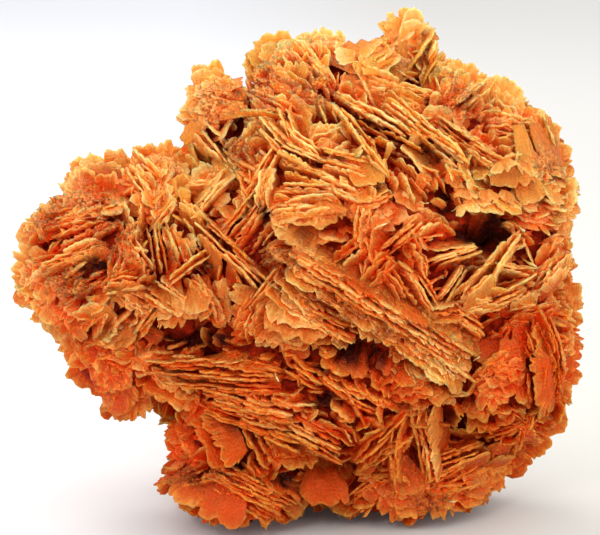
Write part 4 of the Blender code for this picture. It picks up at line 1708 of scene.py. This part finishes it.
def blade_colour(pale, warm, marks):
    """The colour of clean barite, with painted light at the edge and painted shade deep down."""
    to_face = (pale * 2.0 + marks * FACE_MARKS).clamped()
    to_edge = (pale * 2.0 - 1.0 + marks * EDGE_MARKS).clamped()
    return to_edge.mix(to_face.mix(warm.mix(*DEEP), warm.mix(*FACE)), warm.mix(*EDGE))


print("colours of clean barite:", len(DEEP + FACE + EDGE))

# %% [markdown]
# The crust lies over that colour in grains of dark and light brown. The marks decide where it breaks up.
# A number is taken off first, so that hardly any brown shows where there is no crust.

# %% The colours of the crust
DARK_CRUST = ((0.20, 0.022, 0.002, 1), (0.46, 0.09, 0.008, 1))
LIGHT_CRUST = ((0.46, 0.11, 0.012, 1), (0.76, 0.40, 0.11, 1))
CRUST_CONTRAST = 4.0
CRUST_GAIN = 1.6
CRUST_START = 0.45
CRUST_MARKS = 1.3


def crust_over(start, colour, warm, marks, grain):
    """The colour with crust over it."""
    speckle = ((grain - NOISE_MEAN) * CRUST_CONTRAST + NOISE_MEAN).clamped()
    covered = (painted(start, "crust") * CRUST_GAIN - CRUST_START + marks * CRUST_MARKS).clamped()
    return covered.mix(colour, speckle.mix(warm.mix(*DARK_CRUST), warm.mix(*LIGHT_CRUST)))


print("crust shows from a cover of:", round(CRUST_START / CRUST_GAIN, 2))

# %% [markdown]
# Gaps between blades glow a deep red, and hollows are nearly black. Both could be left to the lamps, but
# a render lets too little light through the blades for the glow and too much around them for the black.
# So the depth under the surface mixes in red, and the gloom mixes in black.

# %% The colours of gaps, hollows and flashes
GAP = (0.68, 0.030, 0.001, 1)
GAP_START = 1.2
GAP_RATE = 0.22
GAP_MOST = 0.85
CAVITY = (0.035, 0.003, 0.001, 1)
CAVITY_MARKS = 0.4
CAVITY_RATE = 0.5
CAVITY_START = 0.5
FLASH = (0.88, 0.66, 0.38, 1)
FLASH_START = 1.15
FLASH_STEEP = 4.0


def gaps_over(start, colour, marks):
    """The colour with red gaps and black hollows over it."""
    sunk = painted(start, "sunk")
    buried = ((sunk - GAP_START) * GAP_RATE).clamped() * GAP_MOST
    colour = buried.mix(colour, GAP)
    black = painted(start, "gloom") * (1.0 + marks * CAVITY_MARKS)
    black = (black * (sunk * CAVITY_RATE - CAVITY_START).clamped()).clamped()
    return black.mix(colour, CAVITY)


def flash_over(pale, colour):
    """The colour with the few blades on it that catch the light. Only those are so pale."""
    flash = ((pale - FLASH_START) * FLASH_STEEP).clamped()
    return flash.mix(colour, FLASH)


print("depth of the reddest gaps, mm:", round(GAP_START + 1 / GAP_RATE, 1))

# %% [markdown]
# Light goes into barite and scatters, the red furthest, so the shader's subsurface part is strong and its
# radius is longest in red. Of its methods this one leaves no grey halo round the blades. The skin is dull
# with a faint gloss, and all the marks are raised a little, which a bump does without more faces.

# %% Put barite together
ROUGH_MEAN = 0.55
ROUGH_RANGE = 1.2
PATCH_RAISED = 1.5
LAYER_RAISED = 0.6
BUMP_DISTANCE = 0.0004
SCATTERED = 0.8
SCATTER_RADIUS = (1.0, 0.3, 0.08)
SCATTER_SCALE = 0.0032
GLOSS = 0.09
BARITE_IOR = 1.64


def barite_material():
    """Translucent orange barite, pale at the blades' edges and red in the gaps, with a granular skin."""
    material, surface, start = new_material("barite")
    patch, layers, grain, marks = barite_marks(start)
    warm = barite_warmth(start, marks)
    pale = painted(start, "pale")
    colour = blade_colour(pale, warm, marks)
    colour = crust_over(start, colour, warm, marks, grain)
    colour = gaps_over(start, colour, marks)
    plug(flash_over(pale, colour), surface, "Base Color")
    plug((ROUGH_MEAN + (grain - NOISE_MEAN) * ROUGH_RANGE).clamped(), surface, "Roughness")
    raised = patch * PATCH_RAISED + layers * LAYER_RAISED + grain
    inputs = {"Height": raised, "Strength": 1.0, "Distance": BUMP_DISTANCE}
    plug(start.node("ShaderNodeBump", inputs), surface, "Normal")
    surface.subsurface_method = "BURLEY"
    surface.inputs["Subsurface Weight"].default_value = SCATTERED
    surface.inputs["Subsurface Radius"].default_value = SCATTER_RADIUS
    surface.inputs["Subsurface Scale"].default_value = SCATTER_SCALE
    surface.inputs["Specular IOR Level"].default_value = GLOSS
    surface.inputs["IOR"].default_value = BARITE_IOR
    return material


barite = barite_material()
for piece in pieces:
    piece.data.materials.append(barite)
print("nodes in barite:", len(barite.node_tree.nodes))

# %% [markdown]
# The mass is seen only deep in the gaps. It could share the blades' finish, but it holds none of their
# paint. So it gets a plainer one: dark red in two shades, which is painted shade of the deep gaps, with a
# coarse bump of broken shards.

# %% The mass's own finish
MASS_GRAIN_SCALE = 500.0
MASS_GRAIN_DETAIL = 4.0
MASS_CONTRAST = 3.0
# Painted shade: the mass is dark red because it sits deep in the gaps.
MASS_SHADE_RED = ((0.14, 0.004, 0.0003, 1), (0.42, 0.02, 0.001, 1))
SHARD_SCALE = 420.0
MASS_GRAIN_RAISED = 0.8
MASS_BUMP_DISTANCE = 0.0012
MASS_ROUGHNESS = 0.8
MASS_GLOSS = 0.1


def core_material():
    """Granular barite, painted dark red as shade of the deep gaps."""
    material, surface, start = new_material("barite_mass")
    place = object_place(start)
    inputs = {"Vector": place, "Scale": MASS_GRAIN_SCALE, "Detail": MASS_GRAIN_DETAIL}
    grain = start.node("ShaderNodeTexNoise", inputs)
    shard = start.node("ShaderNodeTexVoronoi", {"Vector": place, "Scale": SHARD_SCALE})
    shade = ((grain - NOISE_MEAN) * MASS_CONTRAST + NOISE_MEAN).clamped()
    plug(shade.mix(*MASS_SHADE_RED), surface, "Base Color")
    inputs = {"Height": grain * MASS_GRAIN_RAISED - shard, "Strength": 1.0, "Distance": MASS_BUMP_DISTANCE}
    plug(start.node("ShaderNodeBump", inputs), surface, "Normal")
    surface.inputs["Roughness"].default_value = MASS_ROUGHNESS
    surface.inputs["Specular IOR Level"].default_value = MASS_GLOSS
    return material


core.data.materials.clear()
core.data.materials.append(core_material())
print("finish of the mass:", core.data.materials[0].name)

# %% [markdown]
# The cluster stands on a plain pale sheet. The eye looks down, so one wide floor fills the picture up to the
# top and no wall is needed behind. The sheet is a little darker to the right and at the back, where less
# light falls, so its colour is painted that way as painted shade. The floor isn't part of the cluster.

# %% The floor
FLOOR_HALF = 4.0
FLOOR_SQUARES = 8
# Painted shade: the paper's colour darkens to the right and at the back.
PAPER_NEAR = ((0.74, 0.72, 0.735, 1), (0.61, 0.605, 0.555, 1))
PAPER_FAR = ((0.635, 0.645, 0.68, 1), (0.555, 0.544, 0.526, 1))
RIGHTWARD_RATE = 6.0
RIGHTWARD_AT_MIDDLE = 0.5
BACKWARD_RATE = 3.0
BACKWARD_START = 0.5
PAPER_ROUGHNESS = 0.8


def paper_material():
    """Pale paper with painted shade, darker to the right and at the back, by the place on the floor in
    metres.
    """
    material, surface, start = new_material("white_paper")
    place = object_place(start)
    across = start.node("ShaderNodeSeparateXYZ", {0: place})
    back = start.node("ShaderNodeSeparateXYZ", {0: place}, output=1)
    rightward = (across * RIGHTWARD_RATE + RIGHTWARD_AT_MIDDLE).clamped()
    backward = (back * BACKWARD_RATE - BACKWARD_START).clamped()
    plug(backward.mix(rightward.mix(*PAPER_NEAR), rightward.mix(*PAPER_FAR)), surface, "Base Color")
    surface.inputs["Roughness"].default_value = PAPER_ROUGHNESS
    return material


def add_floor():
    """A wide flat floor."""
    shape = bmesh.new()
    bmesh.ops.create_grid(shape, x_segments=FLOOR_SQUARES, y_segments=FLOOR_SQUARES, size=FLOOR_HALF)
    mesh = bpy.data.meshes.new("floor")
    shape.to_mesh(mesh)
    shape.free()
    mesh.materials.append(paper_material())
    floor = add_object("floor", mesh)


add_floor()
print("the floor's side, m:", 2 * FLOOR_HALF)

# %% [markdown]
# The light is soft, as in a photographer's studio: an even white world lights the shadows. Large lamps at
# the left, at the right and behind brighten the blades' edges, and a very small one makes a few sharp
# sparkles. Harder light would turn the gaps between the blades black.

# %% The lights
LAMP_WHITE = (1, 0.98, 0.95)
SPARKLE_WHITE = (1, 1, 1)
AIM = (0, 0, 0.05)
SURROUNDINGS = 1.28


class Lamp(NamedTuple):
    """A square lamp: where it stands and its side, in metres, its power in watts, and its colour."""
    name: str
    place: tuple
    side: float
    power: float
    colour: tuple


LAMPS = (
    Lamp("key", (-0.35, -0.8, 0.6), 0.8, 2.3, LAMP_WHITE),
    Lamp("fill", (0.7, -0.6, 0.25), 0.6, 2.3, LAMP_WHITE),
    Lamp("sparkle", (-0.25, -0.8, 0.5), 0.05, 1.2, SPARKLE_WHITE),
    Lamp("rim", (-0.3, 0.7, 0.9), 0.6, 5.0, LAMP_WHITE),
)


def add_lamp(lamp):
    """A lamp that points to the cluster and isn't seen itself."""
    data = bpy.data.lights.new(lamp.name, "AREA")
    data.size = lamp.side
    data.energy = lamp.power
    data.color = lamp.colour
    light = bpy.data.objects.new(lamp.name, data)
    light.location = lamp.place
    light.rotation_euler = (Vector(lamp.place) - Vector(AIM)).to_track_quat("Z", "Y").to_euler()
    light.visible_camera = False
    bpy.context.scene.collection.objects.link(light)


for lamp in LAMPS:
    add_lamp(lamp)
world = bpy.data.worlds.new("studio")
world.use_nodes = True
world.node_tree.nodes["Background"].inputs["Color"].default_value = (1, 1, 1, 1)
world.node_tree.nodes["Background"].inputs["Strength"].default_value = SURROUNDINGS
bpy.context.scene.world = world
bpy.context.scene.view_settings.view_transform = "Standard"
print("lamps:", len(LAMPS))

# %% [markdown]
# Each piece is now tied to the solid model: it rides on the model's one body and stands in for its one node,
# which is hidden.

# %% Join the pieces to the solid model
for piece in [core] + pieces:
    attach(piece, "root")
    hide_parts(NODE)
